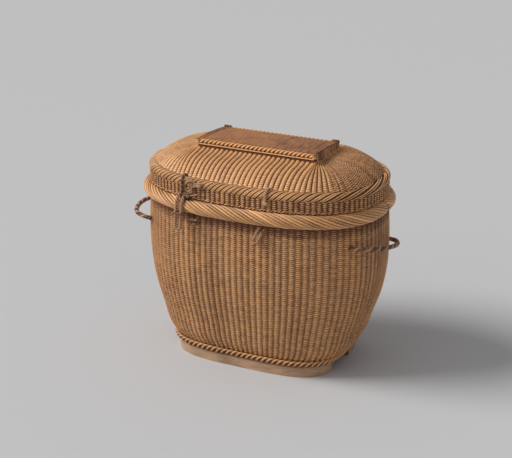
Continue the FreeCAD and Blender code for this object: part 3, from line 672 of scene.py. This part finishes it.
def make_skirt():
    low, high = low_z("lid_skirt"), high_z("lid_skirt")
    surface = level_surface(skirt_plan, SKIRT_SWING + SKIRT_BULGE)
    rows = np.arange(low + 2 * EDGE_STRAND, high + SKIRT_ROW, SKIRT_ROW)
    strips = Bundle()
    # The strips get painted shade where they dive between stakes or lie inside them.
    weave(strips, surface, rows, SKIRT_ROW, even_stakes(SKIRT_STAKES), constant(SKIRT_SWING),
          SKIRT_BULGE, shade=lambda share, place: SKIRT_TONE, hollow_shade=SKIRT_HOLLOW_SHADE)
    strips.mesh("skirt_weave", willow, "lid", ("lid_skirt",), "woven_willow")
    rods = Bundle()
    stakes_of(rods, surface, low + EDGE_STRAND, high, SKIRT_STAKES, SKIRT_STAKE)
    rods.mesh("skirt_stakes", stake_willow, "lid", (), "woven_willow")
    length, width = reach("lid_skirt") - 4 * EDGE_STRAND
    line, out = ring_frame(length, width, LID_POWER, low + 2 * EDGE_STRAND, EDGE_POINTS)
    edge = Bundle()
    wound_ring(edge, line, out, EDGE_STRAND, EDGE_STRAND, (0, 0.5),
               EDGE_TURNS * np.arange(EDGE_POINTS) / EDGE_POINTS, sides=6)
    edge.mesh("skirt_edge_strands", willow, "lid", (), "woven_willow")


# Slope: ribs run straight back over the front and fan out round the ends. It curls up against
# the panel's sides, and the fan's ribs are lower and more finely woven.

FRONT_RIBS = 25
END_RIBS = 33
RIB_STEPS = 10
EDGE_SHARES = 4000
SLOPE_ROWS = 56
SLOPE_POWER = 3.44
SLOPE_TOP_GAP = 0.5 * MM
PANEL_EAVES = 2 * MM
LIP = 4.6 * MM
LIP_POWER = 7
END_LIP = 0.4
FULL_RIBS_FROM = 0.45
FULL_RIBS_WITHIN = 0.3
RIB_ROUND = 0.97
SLOPE_SWING = 0.4 * MM
FRONT_SWING_LESS = 0.22 * MM
SLOPE_BULGE = 0.2 * MM
SLOPE_RIDGE = 0.3 * MM
FRONT_RIDGE_MORE = 1.5 * MM
RIDGE_START = 0.2
RIDGE_RISE = 12
SLOPE_TONE = 0.04
RIGHT_SHADE = 0.12
FRONT_TONE = 0.12
VALLEY_SHADE = 0.7
VALLEY_POWER = 1.3
SLOPE_HOLLOW_SHADE = 0.2
slope_foot = reach("lid_slope")
slope_low, slope_high = low_z("lid_slope"), high_z("lid_slope")
panel_size = np.array([2 * high_x("panel_end_strip_right"), reach("panel_slat_left")[1]])
panel_top = panel_size + PANEL_EAVES
rib_total = 2 * (FRONT_RIBS + END_RIBS)
half_end = END_RIBS / 2 / rib_total
front_share = FRONT_RIBS / rib_total


def slope_edges(share):
    """The outer and inner ends of each rib line; share 0 is the middle of the right end."""
    marks = [0, half_end, half_end + front_share, 3 * half_end + front_share, 1 - half_end, 1]
    places = np.linspace(0, 1, EDGE_SHARES, endpoint=False)
    fine = oval(*slope_foot, LID_POWER, places)
    first = places[np.argmax(fine[:, 0] < panel_top[0] / 2)]
    outer = oval(*slope_foot, LID_POWER,
                 np.interp(share, marks, [0, first, 0.5 - first, 0.5 + first, 1 - first, 1]))
    a, b = panel_top / 2
    x = np.interp(share, marks, [a, a, -a, -a, a, a])
    y = np.interp(share, marks, [0, b, b, -b, -b, 0])
    return outer, np.stack([x, y], 1)


def slope_surface(share, places):
    outer, inner = slope_edges(share)
    places = np.broadcast_to(places, share.shape)
    t = np.clip(places, 0, 1)[:, None]
    flat = outer + t * (inner - outer)
    rise = slope_low + (slope_high - slope_low - SLOPE_TOP_GAP) * (1 - (1 - t) ** SLOPE_POWER)
    lip = LIP * (END_LIP + (1 - END_LIP) * at_front(share))
    return np.concatenate([flat, rise + t ** LIP_POWER * lip[:, None]], 1)


def from_end(share):
    """How far a share lies from the middle of the nearer end, in half ends."""
    return np.abs(np.mod(share + 0.25, 0.5) - 0.25) / half_end


def at_front(share):
    """1 over the straight ribs of the front and back and the first of the fan, 0 at the ends."""
    return np.clip((from_end(share) - FULL_RIBS_FROM) / FULL_RIBS_WITHIN, 0, 1)


def rib_profile(share):
    """1 on a rib's ridge, near 0 in the valley between two."""
    across = 2 * np.abs(np.mod(share * rib_total + 0.5, 1) - 0.5)
    return np.sqrt(1 - RIB_ROUND * across ** 2)


def make_slope():
    count = rib_total * RIB_STEPS
    share = np.arange(count) / count
    rate = 2 - at_front(share)
    stake = np.concatenate([[0], np.cumsum(rate)[:-1]]) / RIB_STEPS
    total = 2 * round(rate.sum() / RIB_STEPS / 2)
    stake = stake * total / (rate.sum() / RIB_STEPS)
    rows = (np.arange(SLOPE_ROWS) + 0.5) / SLOPE_ROWS

    def swing(share, place):
        return (SLOPE_SWING - FRONT_SWING_LESS * at_front(share))[:, None]

    def ridge(share, place):
        height = SLOPE_RIDGE + FRONT_RIDGE_MORE * at_front(share)
        height = height * min(place * RIDGE_RISE + RIDGE_START, 1)
        return (height * (rib_profile(share) - 1))[:, None]

    def shade(share, place):
        right = np.clip(1 - np.minimum(share, 1 - share) / half_end, 0, 1)
        valley = (1 - rib_profile(share)) ** VALLEY_POWER
        return (SLOPE_TONE - RIGHT_SHADE * np.sqrt(right)
                + (FRONT_TONE - VALLEY_SHADE * valley) * at_front(share))

    strips = Bundle()
    # The strips get painted shade where they dive between stakes or lie inside them.
    weave(strips, slope_surface, rows, 1 / SLOPE_ROWS, stake, swing, SLOPE_BULGE, ridge, shade,
          hollow_shade=SLOPE_HOLLOW_SHADE)
    strips.mesh("slope_weave", willow, "lid", ("lid_slope",), "woven_willow")


# Twisted withes along any line

POINTS_PER_TURN = 12


def twisted(bundle, line, around, strand, strands, pitch, spread, closed=False, guide=ANY_GUIDE,
            brighten=0.0, groove_shade=0.3):
    """Strands wound round a line at an even pitch, with painted shade in the grooves between them.
    """
    line = np.asarray(line, float)
    if closed:
        line = np.concatenate([line, line[:1]])
    step = np.linalg.norm(np.diff(line, axis=0), axis=1)
    run = np.concatenate([[0], np.cumsum(step)])
    turns = max(round(run[-1] / pitch), 1) if closed else run[-1] / pitch
    points = max(int(turns * POINTS_PER_TURN), POINTS_PER_TURN)
    fine = np.linspace(0, run[-1], points, endpoint=not closed)
    path = np.stack([np.interp(fine, run, line[:, i]) for i in range(3)], 1)
    across, up = across_line(path, closed, guide)
    for k in range(strands):
        angle = 2 * np.pi * (k / strands + fine / run[-1] * turns)
        away = np.cos(angle)[:, None] * across + np.sin(angle)[:, None] * up
        tube(bundle, path + around * away, strand, brighten + spread * chance(),
             closed=closed, guide=guide, outward=away, groove_shade=groove_shade)


def arc(centre, first, last, steps=8):
    """Points round a centre from its offset first to its offset last."""
    turn = math.acos(np.clip(unit(first) @ unit(last), -1, 1))
    return [centre + (first * math.sin((1 - share) * turn) + last * math.sin(share * turn))
            / math.sin(turn) for share in np.linspace(0, 1, steps + 1)]


def bent(points, bends, closed=False):
    """The line through the points with each corner rounded by its own bend radius."""
    points = [np.array(point, float) for point in points]
    count = len(points)
    line = [] if closed else [points[0]]
    for k, bend in zip(range(count) if closed else range(1, count - 1), bends):
        corner = points[k]
        into, away = unit(corner - points[k - 1]), unit(points[(k + 1) % count] - corner)
        turn = math.acos(np.clip(into @ away, -1, 1))
        back = bend * math.tan(turn / 2)
        centre = corner + unit(away - into) * (bend / math.cos(turn / 2))
        line += arc(centre, corner - into * back - centre, corner + away * back - centre)
    return np.array(line if closed else line + [points[-1]])


# Raised panel: twisted bands in front and behind, upright rods at the ends, wooden boards on top

BAND_STRAND = 1.2 * MM
BAND_AROUND = 1.4 * MM
BAND_PITCH = 10.4 * MM
BAND_SPREAD = 0.05
BAND_TONE = 0.42
BAND_GROOVE_SHADE = 0.4
BAND_RAISE = 0.3 * MM
BAND_ROD = 0.8 * MM
BAND_ROD_TONE = 0.15
BACKING_RODS = 4
BACKING_ROD = 1.6
BACKING_SHADE = -0.4
ROD_POINTS = 30
CIRCLE = np.linspace(0, 2 * np.pi, 16, endpoint=False)
CORNER_TURNS = 4
ROLL_RADIUS = 1.5 * MM
ROLL_PITCH = 1.8
ROLL_RAISE = 1.5 * MM
ROLL_TONE = -0.4
ROLL_TONE_STEP = 0.06
KNOB_RADIUS = 1.8 * MM
KNOB_DEPTH = 0.9
KNOB_ROD = 1.1
KNOB_PITCH = 1.7
KNOB_DROP = 0.8
KNOB_TONE = 0.15
KNOB_TONE_STEP = 0.1
SLAT_ROUND = 0.5 * MM
SLAT_SAG = 3.5 * MM
SLAT_POINTS = 24
LINING_OVERLAP = 0.5 * MM
LINING_LEAN = 1.6 * MM
LINING_POINTS = 81
LINING_TONE = -0.1
END_ROD = 0.75 * MM
END_ROD_PITCH = 2.1 * MM
END_ROD_LEAN = 1.5 * MM
END_ROD_GAP = 0.4 * MM
END_ROD_STRAY = 0.2 * MM
END_ROD_TONE = -0.06
END_ROD_SPREAD = 0.1
END_ROD_GROOVE_SHADE = 0.4
END_FOOT_TONE = -0.05
END_FOOT_POINTS = 12
panel_edge = reach("panel_slat_left")[1] / 2


def sag(y):
    """How far the panel's top has sunk, none in front and most behind."""
    return SLAT_SAG * np.clip((y + panel_edge) / (2 * panel_edge), 0, 1) ** 2


def make_slat(node, tone):
    """A thin board across the panel, bent down towards the back."""
    low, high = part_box(node)
    section = [(low.x, low.z), (high.x, low.z), (high.x, high.z - SLAT_ROUND),
               (high.x - SLAT_ROUND, high.z), (low.x + SLAT_ROUND, high.z),
               (low.x, high.z - SLAT_ROUND)]
    rings = []
    for y in np.linspace(low.y, high.y, SLAT_POINTS) - MIDDLE_Y:
        rings.append([(x, y, z - sag(y)) for x, z in section])
    rings = capped(np.array(rings))
    add_mesh(node + "_board", rings, grid_quads(len(rings), len(section), False, True), panel_wood,
             "lid", (node,), "panel_wood", np.full(rings.shape[:2], tone), SHARP_ANGLE)


def make_lining():
    """A thin sheet from the slope's inner edge up to the boards' undersides, all round."""
    a, b = panel_top / 2
    corners = np.array([(a, -b), (a, b), (-a, b), (-a, -b), (a, -b)])
    steps = np.linspace(0, 4, LINING_POINTS)
    flat = np.stack([np.interp(steps, np.arange(5), corners[:, i]) for i in (0, 1)], 1)
    foot = np.full(len(flat), slope_high - LINING_OVERLAP)
    inner = flat * (1 - 2 * LINING_LEAN / panel_top)
    under = low_z("panel_slat_left") - sag(inner[:, 1])
    lining = np.stack([np.column_stack([flat, foot]), np.column_stack([inner, under])])
    add_mesh("panel_lining", lining, grid_quads(2, len(flat)), stake_willow, "lid", (),
             "woven_willow", np.full(lining.shape[:2], LINING_TONE))


def make_band(node, side):
    """The rope along the panel's edge, the rod under it, rods behind it darkened with painted shade,
    and its corners.

    The front rope ends in round knobs, the rear one in rolls.
    """
    low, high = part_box(node)
    end_x = high.x
    radius = BAND_AROUND + BAND_STRAND
    y = side * (panel_edge + radius)
    z = high_z("panel_slat_left") - sag(y) - radius + BAND_RAISE
    band = Bundle()
    # The rope's strands get painted shade in their grooves.
    twisted(band, [(-end_x, y, z), (end_x, y, z)], BAND_AROUND, BAND_STRAND, 2, BAND_PITCH,
            spread=BAND_SPREAD, brighten=BAND_TONE, groove_shade=BAND_GROOVE_SHADE)

    def rod(rod_y, rod_z, thick, tone):
        line = np.linspace((-end_x, rod_y, rod_z), (end_x, rod_y, rod_z), ROD_POINTS)
        tube(band, line, thick, tone)

    rod(y + side * radius / 2, z - radius - BAND_ROD, BAND_ROD, BAND_ROD_TONE)
    for height in np.linspace(low.z, z, BACKING_RODS):
        rod(y, height, BACKING_ROD * BAND_ROD, BACKING_SHADE)
    across, along = np.cos(CIRCLE), np.sin(CIRCLE)
    for end in (-1, 1):
        for k in range(CORNER_TURNS):
            if side > 0:
                line = ROLL_RADIUS * np.stack([0 * CIRCLE, across, along], 1)
                x = end * (end_x - ROLL_PITCH * BAND_STRAND * k)
                tube(band, line + (x, y, z + ROLL_RAISE), BAND_STRAND,
                     ROLL_TONE + ROLL_TONE_STEP * k, closed=True, guide=(1, 0, 0))
            else:
                line = KNOB_RADIUS * np.stack([across, KNOB_DEPTH * along, 0 * CIRCLE], 1)
                height = z - KNOB_DROP * radius + KNOB_PITCH * BAND_ROD * k
                tube(band, line + (end * end_x, y, height), KNOB_ROD * BAND_ROD,
                     KNOB_TONE - KNOB_TONE_STEP * k, closed=True, guide=(0, 0, 1))
    band.mesh(node + "_strands", rolled, "lid", (node,), "woven_willow")


def make_end_wall(node):
    """Upright rods side by side, on a level rod at their foot."""
    low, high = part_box(node)
    side = 1 if low.x > 0 else -1
    x = side * (high_x("panel_end_strip_right") + END_ROD + SEAT_GAP)
    foot = x + side * END_ROD_LEAN
    rods = Bundle()
    count = int(2 * panel_edge / END_ROD_PITCH)
    for k in range(count):
        y = (k + 0.5) / count * 2 * panel_edge - panel_edge
        top = high_z("panel_slat_left") - sag(y) - END_ROD_GAP
        stray = END_ROD_STRAY * chance()
        line = [(foot, y + stray, low.z), (x + side * stray, y, (low.z + top) / 2), (x, y, top)]
        # Painted shade on each rod's sides that face into the panel and towards its neighbours.
        tube(rods, line, END_ROD, END_ROD_TONE + END_ROD_SPREAD * chance(),
             guide=(1, 0, 0), sides=6, outward=np.tile((side, 0.0, 0.0), (3, 1)),
             groove_shade=END_ROD_GROOVE_SHADE)
    line = np.linspace((foot, -panel_edge, low.z + END_ROD), (foot, panel_edge, low.z + END_ROD),
                       END_FOOT_POINTS)
    tube(rods, line, END_ROD, END_FOOT_TONE)
    rods.mesh(node + "_rods", willow, "lid", (node,), "woven_willow")


# Carrying loops: an oval of three arcs at each end, of three strands. Angles are in degrees.

HANDLE_HALF = 48 * MM
HANDLE_DEPTH = 27 * MM
HANDLE_BEND = 19 * MM
HANDLE_THICK = 2.7 * MM
HANDLE_STRANDS = 3
HANDLE_STRAND = 0.55
HANDLE_ROOT = 9 * MM
HANDLE_PITCH = 13 * MM
HANDLE_SPREAD = 0.16
HANDLE_TONE = -0.06
RIGHT_HANDLE = dict(height=153 * MM, shift=-7 * MM, rise=3, roll=-12)
LEFT_HANDLE = dict(height=159 * MM, shift=-12 * MM, rise=8, roll=-3)


def turned(points, angle, axis):
    """The points turned round the axis of that number, 0 for X."""
    c, s = math.cos(math.radians(angle)), math.sin(math.radians(angle))
    i, j = [(1, 2), (2, 0), (0, 1)][axis]
    out = points.copy()
    out[:, i] = c * points[:, i] - s * points[:, j]
    out[:, j] = s * points[:, i] + c * points[:, j]
    return out


def make_handle(name, side, height, shift, rise, roll):
    straight_half = HANDLE_HALF - HANDLE_BEND
    wide = ((straight_half ** 2 + HANDLE_DEPTH ** 2 - HANDLE_BEND ** 2)
            / (2 * (HANDLE_DEPTH - HANDLE_BEND)))
    small, big = np.array([0, straight_half, 0]), np.array([HANDLE_DEPTH - wide, 0, 0])
    touch = small + unit(small - big) * HANDLE_BEND
    quarter = [np.array([-HANDLE_ROOT, HANDLE_HALF, 0])]
    quarter += arc(small, np.array([0, HANDLE_BEND, 0]), touch - small)
    quarter += arc(big, touch - big, np.array([wide, 0, 0]))[1:]
    line = np.array(quarter + [point * (1, -1, 1) for point in reversed(quarter[:-1])])
    line = turned(line, -rise, 1)
    if side < 0:
        line = turned(line, 180, 2)
    line = turned(line, roll, 0)
    length, width, power = wall_plan(height)
    line = line + np.array([side * plan_y(HANDLE_HALF, width, length, power), shift, height])
    loop = Bundle()
    strand = HANDLE_THICK * HANDLE_STRAND
    twisted(loop, line, HANDLE_THICK - strand, strand, HANDLE_STRANDS, HANDLE_PITCH,
            spread=HANDLE_SPREAD, brighten=HANDLE_TONE)
    loop.mesh(name + "_strands", withe, "basket", (name,), "twisted_withe")


# Hinge rings and fasteners, of two twisted strands

STRAND = 1.3 * MM
PLY_SHARE = 0.72
AROUND_SHARE = 0.66
PLY_PITCH = 6 * MM
PLY_SPREAD = 0.1
PLY_TONE = 0.12
PLY_GROOVE_SHADE = 0.5
LEAD_ANGLE = 40
EYE_RADIUS = 3.3 * MM
EYE_STRAND = 1.2 * MM
EYE_POINTS = 32
STUB_PLACE = 40 * MM
STUB_END = 8 * MM
STUB_TONE = 0.3
TAIL_PLACE = -50 * MM
TAIL_LENGTH = 14 * MM
TAIL_POINTS = 8
TAIL_TONE = 0.1
joints = {joint["name"]: joint for joint in frame["record"]["behaviour"]["joints"]}
eye_x, eye_y, eye_z = np.array(joints["hasp_hinge"]["pos_m"]) - (0, MIDDLE_Y, 0)
rim_z = middle_of("rim_roll").z
rim_radius = (high_z("rim_roll") - low_z("rim_roll")) / 2
shoulder_z = middle_of("lid_shoulder_braid").z
shoulder_radius = (high_z("lid_shoulder_braid") - low_z("lid_shoulder_braid")) / 2


def two_ply(name, line, thick, body, closed=False, guide=ANY_GUIDE, brighten=0.0):
    loop = Bundle()
    # The two strands get painted shade in the grooves between them.
    twisted(loop, line, thick * AROUND_SHARE, thick * PLY_SHARE, 2, PLY_PITCH * thick / STRAND,
            spread=PLY_SPREAD, closed=closed, guide=guide, brighten=brighten + PLY_TONE,
            groove_shade=PLY_GROOVE_SHADE)
    loop.mesh(name + "_strands", withe, body, (name,), "twisted_withe")


def circle_yz(x, y, z, radius, count=48):
    angle = 2 * np.pi * np.arange(count) / count
    return np.stack([np.full(count, x), y + radius * np.cos(angle), z + radius * np.sin(angle)], 1)


def ring_y(node, x, radius):
    """Half the width of a ring's middle line at a place along it."""
    length, width = reach(node) - 2 * radius
    return plan_y(x, length, width, LID_POWER)


def shoulder_front(x):
    """Y of the shoulder's front at a place along it."""
    return -ring_y("lid_shoulder_braid", x, shoulder_radius) - shoulder_radius


def make_hinge_ring(node):
    low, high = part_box(node)
    middle = (low + high) / 2
    thick = (high.x - low.x) / 2
    two_ply(node, circle_yz(middle.x, middle.y - MIDDLE_Y, middle.z, (high.z - low.z) / 2 - thick),
            thick, "basket", True, (1, 0, 0))


def over_shoulder(x, end_z):
    """A strand from the slope over the shoulder and down in front of the skirt."""
    middle = np.array([x, shoulder_front(x) + shoulder_radius, shoulder_z])
    away = shoulder_radius + SEAT_GAP + STRAND
    lead = math.radians(LEAD_ANGLE)
    side = np.array([0, -away, 0])
    start = np.array([0, math.sin(lead), math.cos(lead)]) * away
    top = np.array([0, 0, away])
    line = arc(middle, start, top, 4) + arc(middle, top, side)[1:]
    return np.array(line + [np.array([x, (middle + side)[1], end_z])])


# The left fastener's long loop

HASP_THICK = 1.2
HASP_WIDTH = 6.8 * MM
HASP_DROP = 25 * MM
HASP_LEAN = 3.6 * MM
HASP_PLAY = 0.5 * MM
HASP_BENDS = (1.6 * MM, 6 * MM, 2.7 * MM)
HASP_TONE = 0.3
BINDING_STRAND = 1.1 * MM
BINDING_SHARE = 0.4
BINDING_POINTS = 7
BINDING_TONE = 0.05


def make_hasp():
    """The long loop that hangs from the eye over the rim, and the turn that ties its sides."""
    clear = rim_radius + STRAND + HASP_PLAY
    rod_y = -ring_y("rim_roll", eye_x, rim_radius)
    neck = np.array([rod_y - clear, rim_z + clear / 2])
    end = np.array([rod_y - clear - HASP_LEAN, rim_z - HASP_DROP])
    sides = [(eye_y, eye_z), neck, end]
    points = [(eye_x - HASP_WIDTH / 2, y, z) for y, z in sides]
    points += [(eye_x + HASP_WIDTH / 2, y, z) for y, z in reversed(sides)]
    two_ply("hasp_loop_left", bent(points, HASP_BENDS + HASP_BENDS[::-1], True),
            HASP_THICK * STRAND, "hasp", True, (0, 1, 0), HASP_TONE)
    middle = np.array([eye_x, *(neck + BINDING_SHARE * (end - neck))])
    down = unit(end - neck)
    out = np.array([0, down[1], -down[0]])
    wrap = STRAND + BINDING_STRAND
    line = []
    for way in (1, -1):
        centre = middle + np.array([way * HASP_WIDTH / 2, 0, 0])
        for angle in np.linspace(0, math.pi, BINDING_POINTS):
            line.append(centre - out * (way * wrap * math.cos(angle))
                        + np.array([way * wrap * math.sin(angle), 0, 0]))
    two_ply("hasp_binding_left", line, BINDING_STRAND, "hasp", True, (0, 0, 1), BINDING_TONE)


# Catch loops on the wall. Angles are in degrees from straight down.

CATCH_WIDTH = 5.4 * MM
CATCH_STANDOFF = 2.2 * MM
CATCH_ROOT = 2 * MM
CATCH_BEND = 2 * MM
LEFT_CATCH = dict(place=-44 * MM, drop=17 * MM, length=12 * MM, angle=90, brighten=0.1)
RIGHT_CATCH = dict(place=35 * MM, drop=12 * MM, length=17 * MM, angle=23, brighten=0.25)


def make_catch(name, place, drop, length, angle, brighten):
    """A small loop that leaves the wall and lies along it."""
    angle = math.radians(angle)
    lean_x, lean_z = -math.sin(angle), -math.cos(angle)
    half = CATCH_WIDTH / 2
    out = STRAND + CATCH_STANDOFF
    points = []
    for along, away, across in ((0, -CATCH_ROOT, -half), (0, out, -half), (length, out, -half),
                                (length, out, half), (0, out, half), (0, -CATCH_ROOT, half)):
        x = place + lean_x * along - lean_z * across
        z = rim_z - drop + lean_z * along + lean_x * across
        points.append((x, -plan_y(x, *wall_plan(z)) - away, z))
    two_ply(name, bent(points, (CATCH_BEND,) * 4), STRAND, "basket", brighten=brighten)


# The heap of strands beside the eye, where the left fastener was tied, with loose ends.
# Each loose end has an angle from +X in degrees and a length.

KNOT_ASIDE = 8 * MM
KNOT_RADIUS = 3.2 * MM
KNOT_TURNS = 10
KNOT_LEAN = (0.5, 0.6, 0)
KNOT_LEAST = 0.6
KNOT_MORE = 0.6
KNOT_SCATTER = 0.3
KNOT_FLAT = 0.65
KNOT_FRONT = 0.5
KNOT_BACK = 0.3
KNOT_STRAND = 0.75
KNOT_SPREAD = 0.14
KNOT_TONES = (-0.12, 0.1, -0.02)
KNOT_HIGH = 0.3
BEAD_ASIDE = 8 * MM
BEAD_RADIUS = 1.7 * MM
BEAD_TONE = 0.4
STUB_KNOT_TONE = 0.5
END_STRAND = 0.6
END_POINTS = 8
END_TONE = 0.2
END_WAVE = 1.5 * MM
END_WAVE_TURN = 3
HIGH_ENDS = ((12, 13 * MM), (-18, 10 * MM), (150, 12 * MM))
LOW_ENDS = ((15, 14 * MM),)


def add_knot(knot, middle, radius, turns, tone):
    """Turns of strand heaped round one place, flat against what lies behind."""
    for k in range(turns):
        axis = unit(chance(3) + KNOT_LEAN)
        first = unit(np.cross(axis, ANY_GUIDE))
        second = np.cross(axis, first)
        size = radius * (KNOT_LEAST + KNOT_MORE * random.random())
        own = middle + KNOT_SCATTER * radius * chance(3)
        line = own + size * (np.cos(CIRCLE)[:, None] * first
                             + KNOT_FLAT * np.sin(CIRCLE)[:, None] * second)
        line[:, 1] = middle[1] + np.clip(line[:, 1] - middle[1], -KNOT_FRONT * radius,
                                         KNOT_BACK * radius)
        tube(knot, line, STRAND * KNOT_STRAND, tone + KNOT_SPREAD * chance(),
             closed=True, guide=axis)


def add_loose_end(knot, start, turn, length):
    ends = np.linspace(0, 1, END_POINTS)[:, None]
    way = np.array([math.cos(math.radians(turn)), 0, math.sin(math.radians(turn))])
    line = start + way * length * ends
    front = np.array([shoulder_front(x) for x in line[:, 0]])
    line[:, 1] = front - STRAND - END_WAVE * np.sin(END_WAVE_TURN * ends[:, 0])
    tube(knot, line, STRAND * END_STRAND, END_TONE, guide=(0, 1, 0))


def make_knots():
    knot = Bundle()
    low_x, high_place = eye_x + KNOT_ASIDE, eye_x + 2 * KNOT_ASIDE
    skirt_y = -plan_y(low_x, *skirt_plan(0)) - STRAND
    low = np.array([low_x, skirt_y - KNOT_RADIUS / 2, rim_z + rim_radius + KNOT_RADIUS + STRAND])
    high = np.array([high_place, shoulder_front(high_place) - STRAND,
                     shoulder_z + KNOT_HIGH * shoulder_radius])
    between = (low + high) / 2
    between[1] = high[1]
    for middle, tone in zip((low, between, high), KNOT_TONES):
        add_knot(knot, middle, KNOT_RADIUS, KNOT_TURNS, tone)
    add_knot(knot, high + (BEAD_ASIDE, -BEAD_RADIUS, -BEAD_RADIUS / 2), BEAD_RADIUS, KNOT_TURNS,
             BEAD_TONE)
    stub = np.array([STUB_PLACE, shoulder_front(STUB_PLACE) - STRAND, shoulder_z - STUB_END])
    add_knot(knot, stub, BEAD_RADIUS, KNOT_TURNS, STUB_KNOT_TONE)
    for start, ends in ((high, HIGH_ENDS), (low, LOW_ENDS)):
        for turn, length in ends:
            add_loose_end(knot, start, turn, length)
    knot.mesh("fastener_knot", withe, "lid", (), "twisted_withe")


def make_fasteners():
    make_knots()
    two_ply("hasp_arch_left", over_shoulder(eye_x, eye_z + EYE_RADIUS + 2 * EYE_STRAND), STRAND,
            "lid", guide=(1, 0, 0))
    two_ply("hasp_stub_right", over_shoulder(STUB_PLACE, shoulder_z - STUB_END), STRAND, "lid",
            guide=(1, 0, 0), brighten=STUB_TONE)
    two_ply("hasp_eye_left", circle_yz(eye_x, eye_y, eye_z, EYE_RADIUS, EYE_POINTS), EYE_STRAND,
            "lid", True, (1, 0, 0))
    tail = [(x, shoulder_front(x) - STRAND - SEAT_GAP, shoulder_z)
            for x in np.linspace(TAIL_PLACE, TAIL_PLACE + TAIL_LENGTH, TAIL_POINTS)]
    two_ply("hasp_tail_left", tail, STRAND, "lid", brighten=TAIL_TONE)
    make_hasp()
    make_catch("catch_loop_left", **LEFT_CATCH)
    make_catch("catch_loop_right", **RIGHT_CATCH)


make_wall()
make_rim()
make_foot_braid()
make_rail("foot_rail_front", -1)
make_rail("foot_rail_rear", 1)
make_bottom()
make_skirt()
make_shoulder()
make_slope()
make_slat("panel_end_strip_left", -0.08)
make_slat("panel_slat_left", 0.0)
make_slat("panel_slat_right", -0.03)
make_slat("panel_end_strip_right", -0.06)
make_lining()
make_band("panel_band_front", -1)
make_band("panel_band_rear", 1)
make_end_wall("panel_end_wall_left")
make_end_wall("panel_end_wall_right")
make_handle("handle_right", 1, **RIGHT_HANDLE)
make_handle("handle_left", -1, **LEFT_HANDLE)
make_hinge_ring("hinge_ring_left")
make_hinge_ring("hinge_ring_right")
make_fasteners()

# The pegs in the foot and the sticks under the bottom keep their plain shape.
for name, node in frame["nodes"].items():
    if not node.hide_render:
        node.data.materials.clear()
        node.data.materials.append(bent_wood if name == "foot_pegs" else stake_willow)


# Stage, camera and light

FLOOR_SIZE = 60
FLOOR_COLOUR = (0.60, 0.60, 0.60, 1)
FLOOR_ROUGHNESS = 0.9
bpy.ops.mesh.primitive_plane_add(size=FLOOR_SIZE, location=(0, 0, cad_low.z))
floor = bpy.context.object
floor.name = "floor"
ground = bpy.data.materials.new("floor")
ground.use_nodes = True
look = ground.node_tree.nodes["Principled BSDF"].inputs
look["Base Color"].default_value = FLOOR_COLOUR
look["Roughness"].default_value = FLOOR_ROUGHNESS
floor.data.materials.append(ground)

CAMERA_AZIMUTH = 25.86
CAMERA_ELEVATION = 20.62
CAMERA_DISTANCE = 1.3
CAMERA_AIM = Vector((0.10454, -0.24779 + MIDDLE_Y, 0.24767))
CAMERA_LENS = 96.26
CAMERA_SENSOR = 36
azimuth, elevation = math.radians(CAMERA_AZIMUTH), math.radians(CAMERA_ELEVATION)
back = Vector((math.sin(azimuth) * math.cos(elevation), -math.cos(azimuth) * math.cos(elevation),
               math.sin(elevation)))
camera = bpy.data.objects.new("camera", bpy.data.cameras.new("camera"))
scene.collection.objects.link(camera)
camera.location = CAMERA_AIM + back * CAMERA_DISTANCE
camera.rotation_mode = "QUATERNION"
camera.rotation_quaternion = (-back).to_track_quat("-Z", "Y")
camera.data.lens = CAMERA_LENS
camera.data.sensor_width = CAMERA_SENSOR
scene.camera = camera

LIGHT_AIM = (0, 0, 0.12)
KEY_PLACE = (-2.2, -1.0, 2.35)
KEY_POWER = 2.4
KEY_ANGLE = 28
FILL_PLACE = (-1.2, -1.8, 1.0)
FILL_POWER = 4
FILL_SIZE = 1.4
SKY_COLOUR = (0.60, 0.60, 0.62, 1)
SKY_STRENGTH = 0.55


def add_light(name, kind, place, power):
    light = bpy.data.lights.new(name, kind)
    light.energy = power
    obj = bpy.data.objects.new(name, light)
    scene.collection.objects.link(obj)
    obj.location = place
    obj.rotation_mode = "QUATERNION"
    obj.rotation_quaternion = (Vector(LIGHT_AIM) - Vector(place)).to_track_quat("-Z", "Y")
    return light


key = add_light("key", "SUN", KEY_PLACE, KEY_POWER)
key.angle = math.radians(KEY_ANGLE)
fill = add_light("fill", "AREA", FILL_PLACE, FILL_POWER)
fill.size = FILL_SIZE
world = bpy.data.worlds.new("studio")
scene.world = world
world.use_nodes = True
sky = world.node_tree.nodes["Background"].inputs
sky["Color"].default_value = SKY_COLOUR
sky["Strength"].default_value = SKY_STRENGTH
scene.view_settings.view_transform = "Standard"
